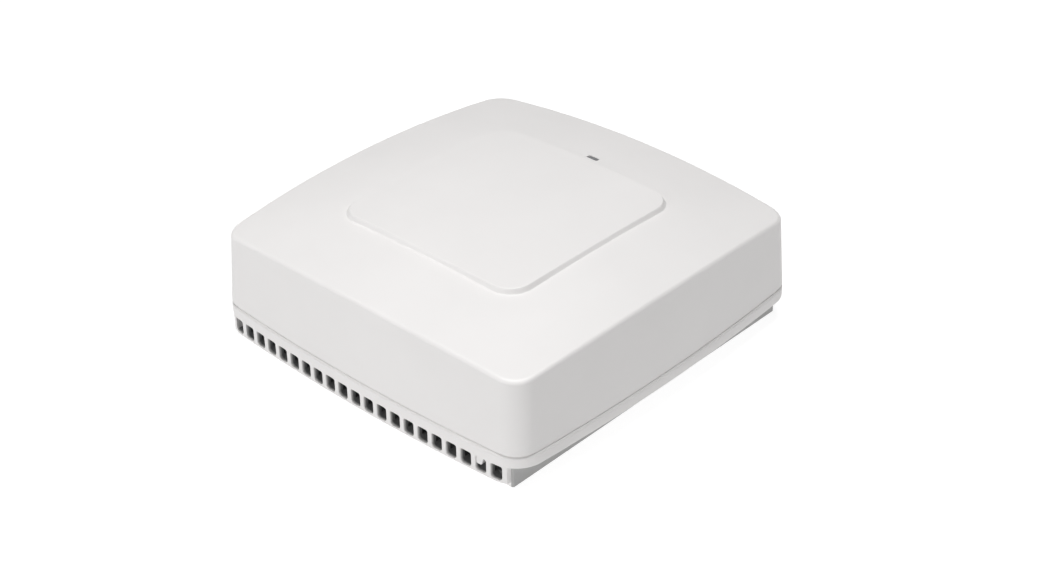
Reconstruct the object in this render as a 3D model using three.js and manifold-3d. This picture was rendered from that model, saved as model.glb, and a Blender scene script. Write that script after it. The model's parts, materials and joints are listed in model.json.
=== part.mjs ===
// A compact square ceiling access point, lying on its back plate with the cover up.
// Millimetres, +Z up. The origin is the centre of the underside. The vented side faces -Y,
// the cable recess opens downwards and towards +Y. The parts are drawn from the lower edge of the
// vented skirt, and the whole object is then lifted by the height of the foot below it.

import * as THREE from 'three';
import { mergeVertices } from 'three/addons/utils/BufferGeometryUtils.js';
import Module from 'manifold-3d';

const wasm = await Module();
wasm.setup();

// ---------------------------------------------------------------- driving dimensions

const GAP = 0.3;                        // air between pieces that are cut to each other

// Cover: a bowed square with a domed top and a raised square panel in the middle.
const COVER_HALF = 70;                  // half width across the mid-sides, at the lower edge
const COVER_DRAFT = 1.3;                // how much narrower each side is at the top
const SIDE_BOW = 2.94;                  // how far a side bulges beyond the line of its corners
const CORNER_RADIUS = 8.25;
const COVER_WALL = 2.2;
const COVER_BOTTOM = 10.5;
const COVER_POST = { radius: 4.2, top: 42, pilotTop: 24 };
const COVER_RIB = { x: 30, thickness: 1.5, low: 36, high: 44 };
const EDGE_RADIUS = 1.2;                // soft edge between the walls and the dome
const DOME_TOP = 45.34;
const DOME_DROP = 0.0013;               // height lost per square millimetre of distance
const DOME_CORNER_LIFT = 9.3e-8;        // keeps the corners from dropping as far
const PANEL_HALF = 40.3;                // foot of the raised panel's bevel
const PANEL_BOW = 0.7;
const PANEL_RADIUS = 9.5;
const PANEL_BEVEL = 1.4;
const PANEL_TOP = 45.7;
const PANEL_DROP = 0.0008;

// Base: a rim that shows below the cover, a skirt with vent slots under its -Y side, and a set-back
// lower body whose edge is a foot that reaches a little below the skirt.
const RIM_HALF = 70.62;
const RIM_RADIUS = 10.8;
const RIM_BOTTOM = 6.1;
const RIM_TOP = 10.2;
const RIM_INNER = 62.2;                 // half width of the opening inside the rim
const FOOT = 2;                         // how far the lower body reaches below the skirt
const FOOT_WIDTH = 2.4;
const LOWER_HALF = 63.33;               // lower body, half width along X
const LOWER_FRONT = -65.6;              // lower body, -Y side
const LOWER_BACK = 64.5;                // lower body, +Y side
const LOWER_RADIUS = 1;
const SKIRT_HALF = 62.6;                // half length of the skirt along X
const BASE_WALL = 2;
const FLOOR = 1.8;
const UPSTAND_TOP = 13.5;
const UPSTAND_HALF = 67.3;
const UPSTAND_WALL = 1.6;
const BOSS_RADIUS = 4.6;                // round each housing screw
const WELL = { radius: 3.3, roof: 5 };  // where each housing screw's head lies
const SCREW_BORE = 1.8;                 // clearance round the housing screws
const PILOT = 1.5;                      // clearance round the small screws

// Vent slots along -Y.
const SLOT_COUNT = 21;
const SLOT_PITCH = 5.893;
const SLOT_WIDTH = 4.1;
const SLOT_BOTTOM = 0.9;
const SLOT_TOP = 6.05;
const SLOT_LOW_RADIUS = 1.2;
const SLOT_HIGH_RADIUS = 0.6;
const SKIRT_BACK = -65.2;               // inner face of the slotted skirt
const LATCH_SLOT = 19;                  // counted from the -X end, starting at 0
const LATCH = { width: 3.2, front: -66.3, back: -64.9, tip: 3.3, shoulder: 5.75, barbFront: -68.5, top: 30 };

// Back plate, in a shallow pocket of the base.
const PLATE = { x: 52, low: -52, high: 18, z: 0, thickness: 1.2 };
const PAD_TOP = 3.3;
const KEYHOLES = [[-38, -38], [38, -38], [-38, 4], [38, 4]];
const KEYHOLE_HEAD = 4.6;
const KEYHOLE_NECK = 2.3;
const KEYHOLE_RUN = 9;
const CUP = { outer: 6.6, inner: 5.4, top: 6.8, roof: 5.6 };   // room behind each keyhole
const PLATE_SCREWS = [[-47, -47], [47, -47], [-47, 13.5], [47, 13.5]];
const PLATE_GROOVE = { x: 12, y: -17, width: 3, length: 44, depth: 0.4 };
const LABEL = { x0: 34, x1: 60, y0: 26, y1: 44, pocket: 0.35 };

// Cable recess in the underside.
const RECESS = { x: 30, low: 22, high: 58, roof: 14.6, wall: 1.6 };
const CHANNEL = { x: 14, roof: 5.6 };

// Main board and what it carries.
const BOARD_HALF = 52;
const BOARD_BOTTOM = 17.1;
const BOARD_TOP = 18.7;
const BOARD_SCREW = 47.5;
const BOARD_POST = 3.2;                 // radius of the posts that the board rests on
const HOUSING_SCREW = 56.5;
const REST = 0.1;                       // air under a piece that rests on another
const SMALL_SCREW = { shank: 1.15, head: 2.3, rim: 1.2, top: 1.7, crown: 1.6 };
const PROCESSOR = { y: -15, size: 15, height: 1.3 };
const THERMAL_PAD = { size: 14, height: 0.8 };
const HEATSINK = { x: 28, low: -48, high: -1, plate: 2.4, finBottom: 7.4 };
const FINS = { count: 10, pitch: 5.6, thickness: 1.6 };
const HEATSINK_SCREWS = [[-22, -44], [22, -6]];
const JACK = { x: -12, width: 16, depth: 21, bottom: 3.6 };
// The plug's opening with the latch's notch below it: half widths, and heights above the socket's foot.
const JACK_MOUTH = {
  depth: 14,
  steps: [
    { half: 5.9, low: 3.1, high: 10.2 },
    { half: 3.2, low: 1.8, high: 3.3 },
    { half: 1.6, low: 1.2, high: 2 },
  ],
};
const CONTACTS = { count: 8, pitch: 1.02, width: 0.4, rise: 9 };
const POWER = { x: 6, width: 9, depth: 14, height: 11, axis: 5.2, bore: 3 };
const RESET = { x: 20, z: 10, radius: 1.9 };

// Antenna tray above the board.
const TRAY_HALF = 49;
const TRAY_BOTTOM = 26;
const TRAY_TOP = 27;
const TRAY_FOOT = 1;                    // thickness of its four feet

// Status light window, just outside the raised panel on its +Y side.
const WINDOW = { y: 43, width: 4.3, depth: 1.7 };

// ---------------------------------------------------------------- materials

const finish = (color, roughness, metalness = 0) =>
  new THREE.MeshStandardMaterial({ color, roughness, metalness });

const whitePlastic = finish(0xe9e8e6, 0.45);
const steel = finish(0xb9bcbf, 0.35, 1);
const aluminium = finish(0xc4c6c8, 0.4, 1);
const tin = finish(0xc9cacb, 0.3, 1);
const brass = finish(0xc9a44a, 0.3, 1);
const boardGreen = finish(0x1d5a3a, 0.5);
const blackPlastic = finish(0x1b1c1e, 0.5);
const blackChip = finish(0x222326, 0.6);
const greyPad = finish(0x8d9aa6, 0.9);
const cableBlack = finish(0x202124, 0.6);
const smokedLens = finish(0x6b6d70, 0.2);
const labelWhite = finish(0xdedfe0, 0.7);
const canSleeve = finish(0x2c3a5c, 0.4);

// ---------------------------------------------------------------- solids

function toSolid(geometry) {
  const bare = geometry.clone();
  bare.deleteAttribute('normal');
  bare.deleteAttribute('uv');
  const merged = mergeVertices(bare, 1e-4);
  return new wasm.Manifold(new wasm.Mesh({
    numProp: 3,
    vertProperties: Float32Array.from(merged.attributes.position.array),
    triVerts: Uint32Array.from(merged.index.array),
  }));
}

function toGeometry(solid) {
  const mesh = solid.getMesh();
  const geometry = new THREE.BufferGeometry();
  geometry.setAttribute('position', new THREE.BufferAttribute(mesh.vertProperties, 3));
  geometry.setIndex(new THREE.BufferAttribute(mesh.triVerts, 1));
  return geometry;
}

const union = (...solids) => solids.reduce((whole, solid) => whole.add(solid));
const cut = (solid, ...tools) => tools.reduce((left, tool) => left.subtract(tool), solid);

function box(x0, x1, y0, y1, z0, z1) {
  const geometry = new THREE.BoxGeometry(x1 - x0, y1 - y0, z1 - z0);
  geometry.translate((x0 + x1) / 2, (y0 + y1) / 2, (z0 + z1) / 2);
  return toSolid(geometry);
}

function centredBox(x, y, width, depth, z0, z1) {
  return box(x - width / 2, x + width / 2, y - depth / 2, y + depth / 2, z0, z1);
}

function rodZ(x, y, z0, z1, radius, sides = 12) {
  const geometry = new THREE.CylinderGeometry(radius, radius, z1 - z0, sides);
  geometry.rotateX(Math.PI / 2);
  geometry.translate(x, y, (z0 + z1) / 2);
  return toSolid(geometry);
}

function rodY(x, z, y0, y1, radius, sides = 16) {
  const geometry = new THREE.CylinderGeometry(radius, radius, y1 - y0, sides);
  geometry.translate(x, (y0 + y1) / 2, z);
  return toSolid(geometry);
}

function turned(x, y, z, profile, sides = 14) {
  const points = profile.map(([radius, height]) => new THREE.Vector2(radius, height));
  const geometry = new THREE.LatheGeometry(points, sides);
  geometry.rotateX(Math.PI / 2);
  geometry.translate(x, y, z);
  return toSolid(geometry);
}

// The same outline without points that repeat the one before them.
function distinct(points) {
  return points.filter((point, i) => point.distanceTo(points.at(i - 1)) > 1e-3);
}

// An upright prism of an outline in the XY plane.
function prism(points, z0, z1) {
  const geometry = new THREE.ExtrudeGeometry(new THREE.Shape(distinct(points)), {
    depth: z1 - z0, bevelEnabled: false,
  });
  geometry.translate(0, 0, z0);
  return toSolid(geometry);
}

// A prism along Y of an outline in the XZ plane, running from y0 to y1.
function prismY(points, y0, y1) {
  const geometry = new THREE.ExtrudeGeometry(new THREE.Shape(distinct(points)), {
    depth: y1 - y0, bevelEnabled: false,
  });
  geometry.rotateX(Math.PI / 2);
  geometry.translate(0, y1, 0);
  return toSolid(geometry);
}

// A body between rings of points that all have the same count, from the lowest to the highest.
function loft(rings) {
  const count = rings[0].length;
  const positions = rings.flat(2);
  const index = [];
  for (let level = 0; level + 1 < rings.length; level += 1) {
    for (let i = 0; i < count; i += 1) {
      const j = (i + 1) % count;
      const a = level * count + i;
      const b = level * count + j;
      index.push(a, b, b + count, a, b + count, a + count);
    }
  }
  const middle = (ring) => ring.reduce(
    (sum, point) => sum.map((value, axis) => value + point[axis] / count), [0, 0, 0]);
  const bottom = rings.length * count;
  positions.push(...middle(rings[0]), ...middle(rings[rings.length - 1]));
  const last = (rings.length - 1) * count;
  for (let i = 0; i < count; i += 1) {
    const j = (i + 1) % count;
    index.push(bottom, j, i, bottom + 1, last + i, last + j);
  }
  const geometry = new THREE.BufferGeometry();
  geometry.setAttribute('position', new THREE.Float32BufferAttribute(positions, 3));
  geometry.setIndex(index);
  return toSolid(geometry);
}

// A square with bowed sides and rounded corners, counter-clockwise from the +X side.
function bowedSquare(half, bow, radius, sideSteps = 6, cornerSteps = 4) {
  const chord = half - bow;
  const sideRadius = (chord * chord + bow * bow) / (2 * bow);
  const centre = half - sideRadius;
  const inner = sideRadius - radius;
  const corner = (2 * centre + Math.sqrt(4 * centre ** 2 - 8 * (centre ** 2 - inner ** 2))) / 4;
  const reach = Math.atan2(corner, corner - centre);
  const quarter = [];
  for (let i = 0; i < sideSteps; i += 1) {
    const angle = -reach + (2 * reach * i) / sideSteps;
    quarter.push([centre + sideRadius * Math.cos(angle), sideRadius * Math.sin(angle)]);
  }
  for (let i = 0; i < cornerSteps; i += 1) {
    const angle = reach + ((Math.PI / 2 - 2 * reach) * i) / cornerSteps;
    quarter.push([corner + radius * Math.cos(angle), corner + radius * Math.sin(angle)]);
  }
  const outline = [];
  for (let side = 0; side < 4; side += 1) {
    const turn = new THREE.Matrix3().makeRotation(side * Math.PI / 2);
    for (const [x, y] of quarter) {
      outline.push(new THREE.Vector2(x, y).applyMatrix3(turn));
    }
  }
  return outline;
}

function roundedRectangle(x0, x1, y0, y1, radius) {
  const shape = new THREE.Shape();
  shape.moveTo(x0 + radius, y0);
  shape.lineTo(x1 - radius, y0);
  shape.absarc(x1 - radius, y0 + radius, radius, -Math.PI / 2, 0);
  shape.absarc(x1 - radius, y1 - radius, radius, 0, Math.PI / 2);
  shape.absarc(x0 + radius, y1 - radius, radius, Math.PI / 2, Math.PI);
  shape.absarc(x0 + radius, y0 + radius, radius, Math.PI, 1.5 * Math.PI);
  return shape.getPoints(3);
}

// A round rod bent along a smooth curve through the points.
function bentRod(points, radius, steps) {
  const path = new THREE.CatmullRomCurve3(points.map((point) => new THREE.Vector3(...point)));
  const section = new THREE.Shape();
  section.absarc(0, 0, radius, 0, 2 * Math.PI);
  return toSolid(new THREE.ExtrudeGeometry(section, {
    steps, extrudePath: path, curveSegments: 4, bevelEnabled: false,
  }));
}

const object = new THREE.Group();
object.position.z = FOOT;

function part(name, solid, material) {
  const mesh = new THREE.Mesh(toGeometry(solid), material);
  mesh.name = name;
  object.add(mesh);
}

// ---------------------------------------------------------------- cover

const CORNERS = [[1, 1], [-1, 1], [-1, -1], [1, -1]];
const slotX = (index) => (index - (SLOT_COUNT - 1) / 2) * SLOT_PITCH;

const domeHeight = (x, y) =>
  DOME_TOP - DOME_DROP * (x * x + y * y) + DOME_CORNER_LIFT * x * x * y * y;
const panelHeight = (x, y) => PANEL_TOP - PANEL_DROP * (x * x + y * y);

function ringOf(half, bow, radius, height) {
  return bowedSquare(half, bow, radius).map(({ x, y }) => {
    const z = typeof height === 'number' ? height : height(x, y);
    return [x, y, z];
  });
}

function coverOuter() {
  const top = COVER_HALF - COVER_DRAFT;
  const flat = PANEL_HALF - PANEL_BEVEL;
  const flatRadius = PANEL_RADIUS - PANEL_BEVEL;
  const onPanel = (share) => ringOf(flat * share, PANEL_BOW * share, flatRadius * share, panelHeight);
  const below = (drop) => (x, y) => domeHeight(x, y) - drop;
  return loft([
    ringOf(COVER_HALF, SIDE_BOW, CORNER_RADIUS, COVER_BOTTOM),
    ringOf(top, SIDE_BOW, CORNER_RADIUS, below(EDGE_RADIUS)),
    ringOf(top - 0.35 * EDGE_RADIUS, SIDE_BOW, CORNER_RADIUS, below(0.35 * EDGE_RADIUS)),
    ringOf(top - EDGE_RADIUS, SIDE_BOW, CORNER_RADIUS, domeHeight),
    ringOf((top + PANEL_HALF) / 2, (SIDE_BOW + PANEL_BOW) / 2, CORNER_RADIUS, domeHeight),
    ringOf(PANEL_HALF, PANEL_BOW, PANEL_RADIUS, domeHeight),
    ringOf(flat, PANEL_BOW, flatRadius, panelHeight),
    onPanel(0.7),
    onPanel(0.03),
  ]);
}

function coverInner() {
  const top = COVER_HALF - COVER_DRAFT - COVER_WALL;
  const radius = CORNER_RADIUS - COVER_WALL;
  const inside = (x, y) => domeHeight(x, y) - COVER_WALL;
  const roofAt = (share) => ringOf(top * share, SIDE_BOW * share, radius * share, inside);
  return loft([
    ringOf(COVER_HALF - COVER_WALL, SIDE_BOW, radius, COVER_BOTTOM - 1),
    roofAt(1),
    roofAt(0.8),
    roofAt(0.55),
    roofAt(0.3),
  ]);
}

// The latch hooks under the rim and its barb fills the corner of one vent slot.
function latchHook() {
  const { width, front, back, tip, shoulder, barbFront, top } = LATCH;
  const left = slotX(LATCH_SLOT) - SLOT_WIDTH / 2 + GAP;
  const arm = box(left, left + width, front, back, tip, top);
  const barb = prismY([
    new THREE.Vector2(left, tip), new THREE.Vector2(left + 0.6 * width, tip),
    new THREE.Vector2(left + 0.875 * width, shoulder), new THREE.Vector2(left, shoulder),
  ], barbFront, back);
  const bridge = box(left, left + width, barbFront, back, UPSTAND_TOP + 2.5, top);
  return union(arm, barb, bridge);
}

function topCover() {
  const outer = coverOuter();
  const posts = CORNERS.map(([sx, sy]) =>
    rodZ(sx * HOUSING_SCREW, sy * HOUSING_SCREW, COVER_BOTTOM, COVER_POST.top, COVER_POST.radius));
  const ribs = [-1, 1].map((side) => centredBox(side * COVER_RIB.x, 0, COVER_RIB.thickness,
    2 * UPSTAND_HALF, COVER_RIB.low, COVER_RIB.high));
  const inside = union(...posts, ...ribs, latchHook()).intersect(outerWithSkirt(outer));
  const shell = union(cut(outer, coverInner()), inside);
  const pilots = CORNERS.map(([sx, sy]) =>
    rodZ(sx * HOUSING_SCREW, sy * HOUSING_SCREW, COVER_BOTTOM - 1, COVER_POST.pilotTop, SCREW_BORE, 12));
  const window = centredBox(0, WINDOW.y, WINDOW.width + 0.4, WINDOW.depth + 0.4,
    COVER_RIB.low, PANEL_TOP + 1);
  part('top_cover', cut(shell, ...pilots, window), whitePlastic);
}

// The inner features may reach below the shell, but not through its top or its walls.
function outerWithSkirt(outer) {
  const { tip, barbFront } = LATCH;
  return union(outer, box(-RIM_INNER, RIM_INNER, barbFront, -RIM_INNER, tip - 1, COVER_BOTTOM + 1));
}

// ---------------------------------------------------------------- base

function lowerBody(inset, z0, z1) {
  return prism(roundedRectangle(-LOWER_HALF + inset, LOWER_HALF - inset, LOWER_FRONT + inset,
    LOWER_BACK - inset, LOWER_RADIUS), z0, z1);
}

// The skirt follows the rim's bowed outline along the -Y side and ends square at both ends.
function skirt(inset, z0, z1) {
  const bowed = prism(bowedSquare(RIM_HALF - inset, SIDE_BOW, RIM_RADIUS - inset), z0, z1);
  const half = SKIRT_HALF - inset;
  const ends = box(-half, half, -RIM_HALF - 1, LOWER_FRONT + BASE_WALL + 1, z0, z1);
  return bowed.intersect(ends);
}

// The foot runs round the lower body's edge and leaves the underside inside it set back.
function foot() {
  return cut(lowerBody(0, -FOOT, 1), lowerBody(FOOT_WIDTH, -FOOT - 1, 2));
}

function slotOutline(x) {
  const half = SLOT_WIDTH / 2;
  const low = SLOT_LOW_RADIUS;
  const high = SLOT_HIGH_RADIUS;
  const shape = new THREE.Shape();
  shape.moveTo(x - half + low, SLOT_BOTTOM);
  shape.lineTo(x + half - low, SLOT_BOTTOM);
  shape.absarc(x + half - low, SLOT_BOTTOM + low, low, -Math.PI / 2, 0);
  shape.absarc(x + half - high, SLOT_TOP - high, high, 0, Math.PI / 2);
  shape.absarc(x - half + high, SLOT_TOP - high, high, Math.PI / 2, Math.PI);
  shape.absarc(x - half + low, SLOT_BOTTOM + low, low, Math.PI, 1.5 * Math.PI);
  return shape.getPoints(2);
}

function ventSlots() {
  const slots = [];
  for (let i = 0; i < SLOT_COUNT; i += 1) {
    slots.push(prismY(slotOutline(slotX(i)), -RIM_HALF - 1, SKIRT_BACK));
  }
  return slots;
}

function housingBosses() {
  return CORNERS.map(([sx, sy]) =>
    rodZ(sx * HOUSING_SCREW, sy * HOUSING_SCREW, 0, RIM_TOP, BOSS_RADIUS));
}

function boardPosts() {
  return CORNERS.map(([sx, sy]) =>
    rodZ(sx * BOARD_SCREW, sy * BOARD_SCREW, 1, BOARD_BOTTOM - REST, BOARD_POST));
}

function keyholeCups(radius, z0, z1) {
  return KEYHOLES.map(([x, y]) => prism(
    roundedRectangle(x - radius, x + radius, y - radius, y + radius + KEYHOLE_RUN, radius - 0.5), z0, z1));
}

function baseHousing() {
  const rim = cut(
    prism(bowedSquare(RIM_HALF, SIDE_BOW, RIM_RADIUS), RIM_BOTTOM, RIM_TOP),
    prism(bowedSquare(RIM_INNER, SIDE_BOW, CORNER_RADIUS - 3), RIM_BOTTOM - 1, RIM_TOP + 1));
  const lower = cut(
    union(lowerBody(0, 0, RIM_BOTTOM + 1), skirt(0, 0, RIM_BOTTOM + 1)),
    lowerBody(BASE_WALL, FLOOR, RIM_TOP), skirt(BASE_WALL, FLOOR, RIM_TOP));
  const upstandRadius = CORNER_RADIUS - COVER_WALL;
  const upstand = cut(
    prism(bowedSquare(UPSTAND_HALF, SIDE_BOW, upstandRadius), RIM_BOTTOM + 1, UPSTAND_TOP),
    prism(bowedSquare(UPSTAND_HALF - UPSTAND_WALL, SIDE_BOW, upstandRadius - UPSTAND_WALL),
      RIM_BOTTOM, UPSTAND_TOP + 1));
  const pad = box(-PLATE.x - 2, PLATE.x + 2, PLATE.low - 2, PLATE.high + 2, 0, PAD_TOP);
  const { wall } = RECESS;
  const recessOuter = union(
    box(-RECESS.x - wall, RECESS.x + wall, RECESS.low - wall, RECESS.high + wall, 0, RECESS.roof + wall),
    box(-CHANNEL.x - wall, CHANNEL.x + wall, RECESS.high, LOWER_BACK - 1, 0, CHANNEL.roof + wall));
  const solid = union(rim, lower, foot(), upstand, pad, recessOuter,
    ...housingBosses(), ...boardPosts(), ...keyholeCups(CUP.outer, 0, CUP.top));

  const recessInner = union(
    box(-RECESS.x, RECESS.x, RECESS.low, RECESS.high, -1, RECESS.roof),
    box(-CHANNEL.x, CHANNEL.x, RECESS.high - 1, LOWER_BACK + 1, -FOOT - 1, CHANNEL.roof));
  const plateSeat = box(-PLATE.x - GAP, PLATE.x + GAP, PLATE.low - GAP, PLATE.high + GAP, -1,
    PLATE.thickness + REST);
  const labelSeat = box(LABEL.x0, LABEL.x1, LABEL.y0, LABEL.y1, -1, LABEL.pocket);
  const jackWindow = centredBox(JACK.x, RECESS.low, JACK.width + 0.8, 6, JACK.bottom - GAP, BOARD_TOP);
  const powerWindow = centredBox(POWER.x, RECESS.low, POWER.width + 0.8, 6,
    BOARD_BOTTOM - POWER.height - GAP - REST, BOARD_TOP);
  const resetHole = rodY(RESET.x, RESET.z, RECESS.low - 4, RECESS.low + 2, RESET.radius + GAP);
  const screwHoles = CORNERS.flatMap(([sx, sy]) => {
    const x = sx * HOUSING_SCREW;
    const y = sy * HOUSING_SCREW;
    return [rodZ(x, y, -1, WELL.roof, WELL.radius), rodZ(x, y, 1, RIM_TOP + 1, SCREW_BORE, 12)];
  });
  const boardHoles = CORNERS.map(([sx, sy]) =>
    rodZ(sx * BOARD_SCREW, sy * BOARD_SCREW, 8, BOARD_BOTTOM + 1, PILOT, 10));
  const latchX = slotX(LATCH_SLOT);
  const latchPassage = box(latchX - 2.2, latchX + 2.2, LATCH.front - GAP, LATCH.back + 1.9,
    LATCH.tip - 0.8, UPSTAND_TOP + 1);
  const plateScrewHoles = PLATE_SCREWS.map(([x, y]) => rodZ(x, y, 0, PAD_TOP - GAP, PILOT, 8));
  return cut(solid, recessInner, plateSeat, labelSeat, jackWindow, powerWindow, resetHole,
    ...screwHoles, ...boardHoles, latchPassage, ...ventSlots(), ...keyholeCups(CUP.inner, 0, CUP.roof),
    ...plateScrewHoles);
}

// ---------------------------------------------------------------- back plate and its screws

function keyhole([x, y]) {
  const z0 = PLATE.z - 1;
  const z1 = PLATE.thickness + 1;
  return union(
    rodZ(x, y, z0, z1, KEYHOLE_HEAD, 16),
    box(x - KEYHOLE_NECK, x + KEYHOLE_NECK, y, y + KEYHOLE_RUN, z0, z1),
    rodZ(x, y + KEYHOLE_RUN, z0, z1, KEYHOLE_NECK, 12));
}

function backPlate() {
  const sheet = prism(roundedRectangle(-PLATE.x, PLATE.x, PLATE.low, PLATE.high, 4),
    PLATE.z, PLATE.thickness);
  const { width, length, depth } = PLATE_GROOVE;
  const grooves = [-1, 1].map((side) =>
    centredBox(side * PLATE_GROOVE.x, PLATE_GROOVE.y, width, length, PLATE.z - 1, PLATE.z + depth));
  const holes = PLATE_SCREWS.map(([x, y]) =>
    turned(x, y, 0, [[0, -0.5], [3.1, -0.5], [PILOT, 1.15], [PILOT, 2], [0, 2]], 10));
  part('back_plate', cut(sheet, ...KEYHOLES.map(keyhole), ...holes, ...grooves), steel);
}

function plateScrews() {
  PLATE_SCREWS.forEach(([x, y], i) => {
    const solid = turned(x, y, 0,
      [[0, 0.05], [2.3, 0.05], [1.2, 1.15], [1.2, 2.9], [0, 2.9]], 10);
    part(`plate_screw_${i + 1}`, solid, steel);
  });
}

function housingScrews() {
  CORNERS.forEach(([sx, sy], i) => {
    const x = sx * HOUSING_SCREW;
    const y = sy * HOUSING_SCREW;
    const head = turned(x, y, 0, [[0, 2.9], [2.5, 2.9], [2.8, 3.3], [2.8, 4.9], [1.45, 4.9],
      [1.45, 21.2], [0.6, 22.2], [0, 22.2]]);
    const recess = union(centredBox(x, y, 2.6, 0.7, 2, 4.1), centredBox(x, y, 0.7, 2.6, 2, 4.1));
    part(`housing_screw_${i + 1}`, cut(head, recess), steel);
  });
}

// ---------------------------------------------------------------- main board

function mainBoard() {
  const sheet = prism(roundedRectangle(-BOARD_HALF, BOARD_HALF, -BOARD_HALF, BOARD_HALF, 3),
    BOARD_BOTTOM, BOARD_TOP);
  const holes = CORNERS.map(([sx, sy]) =>
    rodZ(sx * BOARD_SCREW, sy * BOARD_SCREW, BOARD_BOTTOM - 1, BOARD_TOP + 1, PILOT, 10));
  const sinkHoles = HEATSINK_SCREWS.map(([x, y]) =>
    rodZ(x, y, BOARD_BOTTOM - 1, BOARD_TOP + 1, PILOT, 10));
  part('main_board', cut(sheet, ...holes, ...sinkHoles), boardGreen);
}

// A small domed screw whose head rests at the given height.
function smallScrew(name, x, y, seat, length) {
  const { shank, head, rim, top, crown } = SMALL_SCREW;
  const below = [[0, -length], [shank, -length], [shank, 0]];
  const above = [[head, 0], [head, rim], [crown, top], [0, top]];
  part(name, turned(x, y, seat, [...below, ...above], 10), steel);
}

function boardScrews() {
  const seat = BOARD_TOP + REST + TRAY_FOOT + REST;
  CORNERS.forEach(([sx, sy], i) =>
    smallScrew(`board_screw_${i + 1}`, sx * BOARD_SCREW, sy * BOARD_SCREW, seat, 9.5));
}

// A flat chip or block lying on the board's upper face.
function blockOnBoard(name, x, y, width, depth, height, material) {
  const z = BOARD_TOP + REST;
  part(name, centredBox(x, y, width, depth, z, z + height), material);
}

function shieldCan(name, x, y, width, depth, height) {
  const z = BOARD_TOP + REST;
  const shell = cut(
    centredBox(x, y, width, depth, z, z + height),
    centredBox(x, y, width - 0.8, depth - 0.8, z - 1, z + height - 0.4));
  part(name, shell, tin);
}

function capacitor(name, x, y, radius, height) {
  const z = BOARD_TOP + REST;
  const solid = turned(x, y, z, [[0, 0], [radius, 0], [radius, 1.2], [radius - 0.3, 1.6],
    [radius, 2], [radius, height - 0.4], [radius - 0.4, height], [0, height]], 16);
  part(name, solid, canSleeve);
}

function boardParts() {
  shieldCan('shield_can_24ghz', -26, -22, 30, 26, 3.4);
  shieldCan('shield_can_5ghz', 20, -22, 34, 26, 3.4);
  blockOnBoard('radio_chip_24ghz', -26, -22, 9, 9, 1, blackChip);
  blockOnBoard('radio_chip_5ghz', 20, -22, 10, 10, 1, blackChip);
  blockOnBoard('memory_chip', 6, 6, 11, 13, 1.1, blackChip);
  blockOnBoard('flash_chip', 40, 6, 8, 6, 1.6, blackChip);
  blockOnBoard('ethernet_magnetics', -12, 16, 16, 12, 5.6, blackPlastic);
  blockOnBoard('poe_transformer', -34, 26, 14, 13, 6.6, blackChip);
  blockOnBoard('power_inductor', -34, 8, 10, 10, 4.2, blackChip);
  blockOnBoard('status_led', 0, WINDOW.y, 3.2, 1.6, 0.9, smokedLens);
  capacitor('capacitor_1', 14, 36, 3.2, 6.8);
  capacitor('capacitor_2', 24, 36, 3.2, 6.8);
}

// ---------------------------------------------------------------- processor and its heat path

function processorAndHeatsink() {
  const chipLow = BOARD_BOTTOM - REST - PROCESSOR.height;
  part('processor_chip',
    centredBox(0, PROCESSOR.y, PROCESSOR.size, PROCESSOR.size, chipLow, BOARD_BOTTOM - REST), blackChip);
  const padLow = chipLow - REST - THERMAL_PAD.height;
  part('thermal_pad',
    centredBox(0, PROCESSOR.y, THERMAL_PAD.size, THERMAL_PAD.size, padLow, chipLow - REST), greyPad);
  heatsink(padLow - REST);
  HEATSINK_SCREWS.forEach(([x, y], i) => smallScrew(`heatsink_screw_${i + 1}`, x, y, BOARD_TOP + REST, 7));
}

// A finned plate under the thermal pad, hung from the board by two posts.
function heatsink(top) {
  const { x: reach, low, high, plate, finBottom } = HEATSINK;
  const fins = [];
  for (let i = 0; i < FINS.count; i += 1) {
    const x = (i - (FINS.count - 1) / 2) * FINS.pitch;
    fins.push(centredBox(x, (low + high) / 2, FINS.thickness, high - low, finBottom, top - plate + 0.4));
  }
  const sheet = box(-reach, reach, low, high, top - plate, top);
  const posts = HEATSINK_SCREWS.map(([x, y]) => rodZ(x, y, top - 1, BOARD_BOTTOM - REST, 3, 12));
  const holes = HEATSINK_SCREWS.map(([x, y]) => rodZ(x, y, top - 4.6, BOARD_BOTTOM + 1, PILOT, 10));
  part('heatsink', cut(union(sheet, ...fins, ...posts), ...holes), aluminium);
}

// ---------------------------------------------------------------- sockets

// A shielded eight-way socket, its mouth in the recess wall with the latch notch below.
function ethernetJack() {
  const x0 = JACK.x - JACK.width / 2;
  const x1 = JACK.x + JACK.width / 2;
  const y1 = RECESS.low;
  const y0 = y1 - JACK.depth;
  const z0 = JACK.bottom;
  const z1 = BOARD_BOTTOM - REST;
  const skin = 0.4;
  const shell = cut(box(x0, x1, y0, y1, z0, z1),
    box(x0 + skin, x1 - skin, y0 + skin, y1 + 1, z0 + skin, z1 - skin));
  part('ethernet_jack_shell', shell, tin);
  const inset = skin + REST;
  const body = box(x0 + inset, x1 - inset, y0 + inset, y1 - REST, z0 + inset, z1 - inset);
  const steps = JACK_MOUTH.steps.map(({ half, low, high }) =>
    box(JACK.x - half, JACK.x + half, y1 - JACK_MOUTH.depth, y1 + 1, z0 + low, z0 + high));
  part('ethernet_jack_body', cut(body, ...steps), blackPlastic);
}

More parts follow.
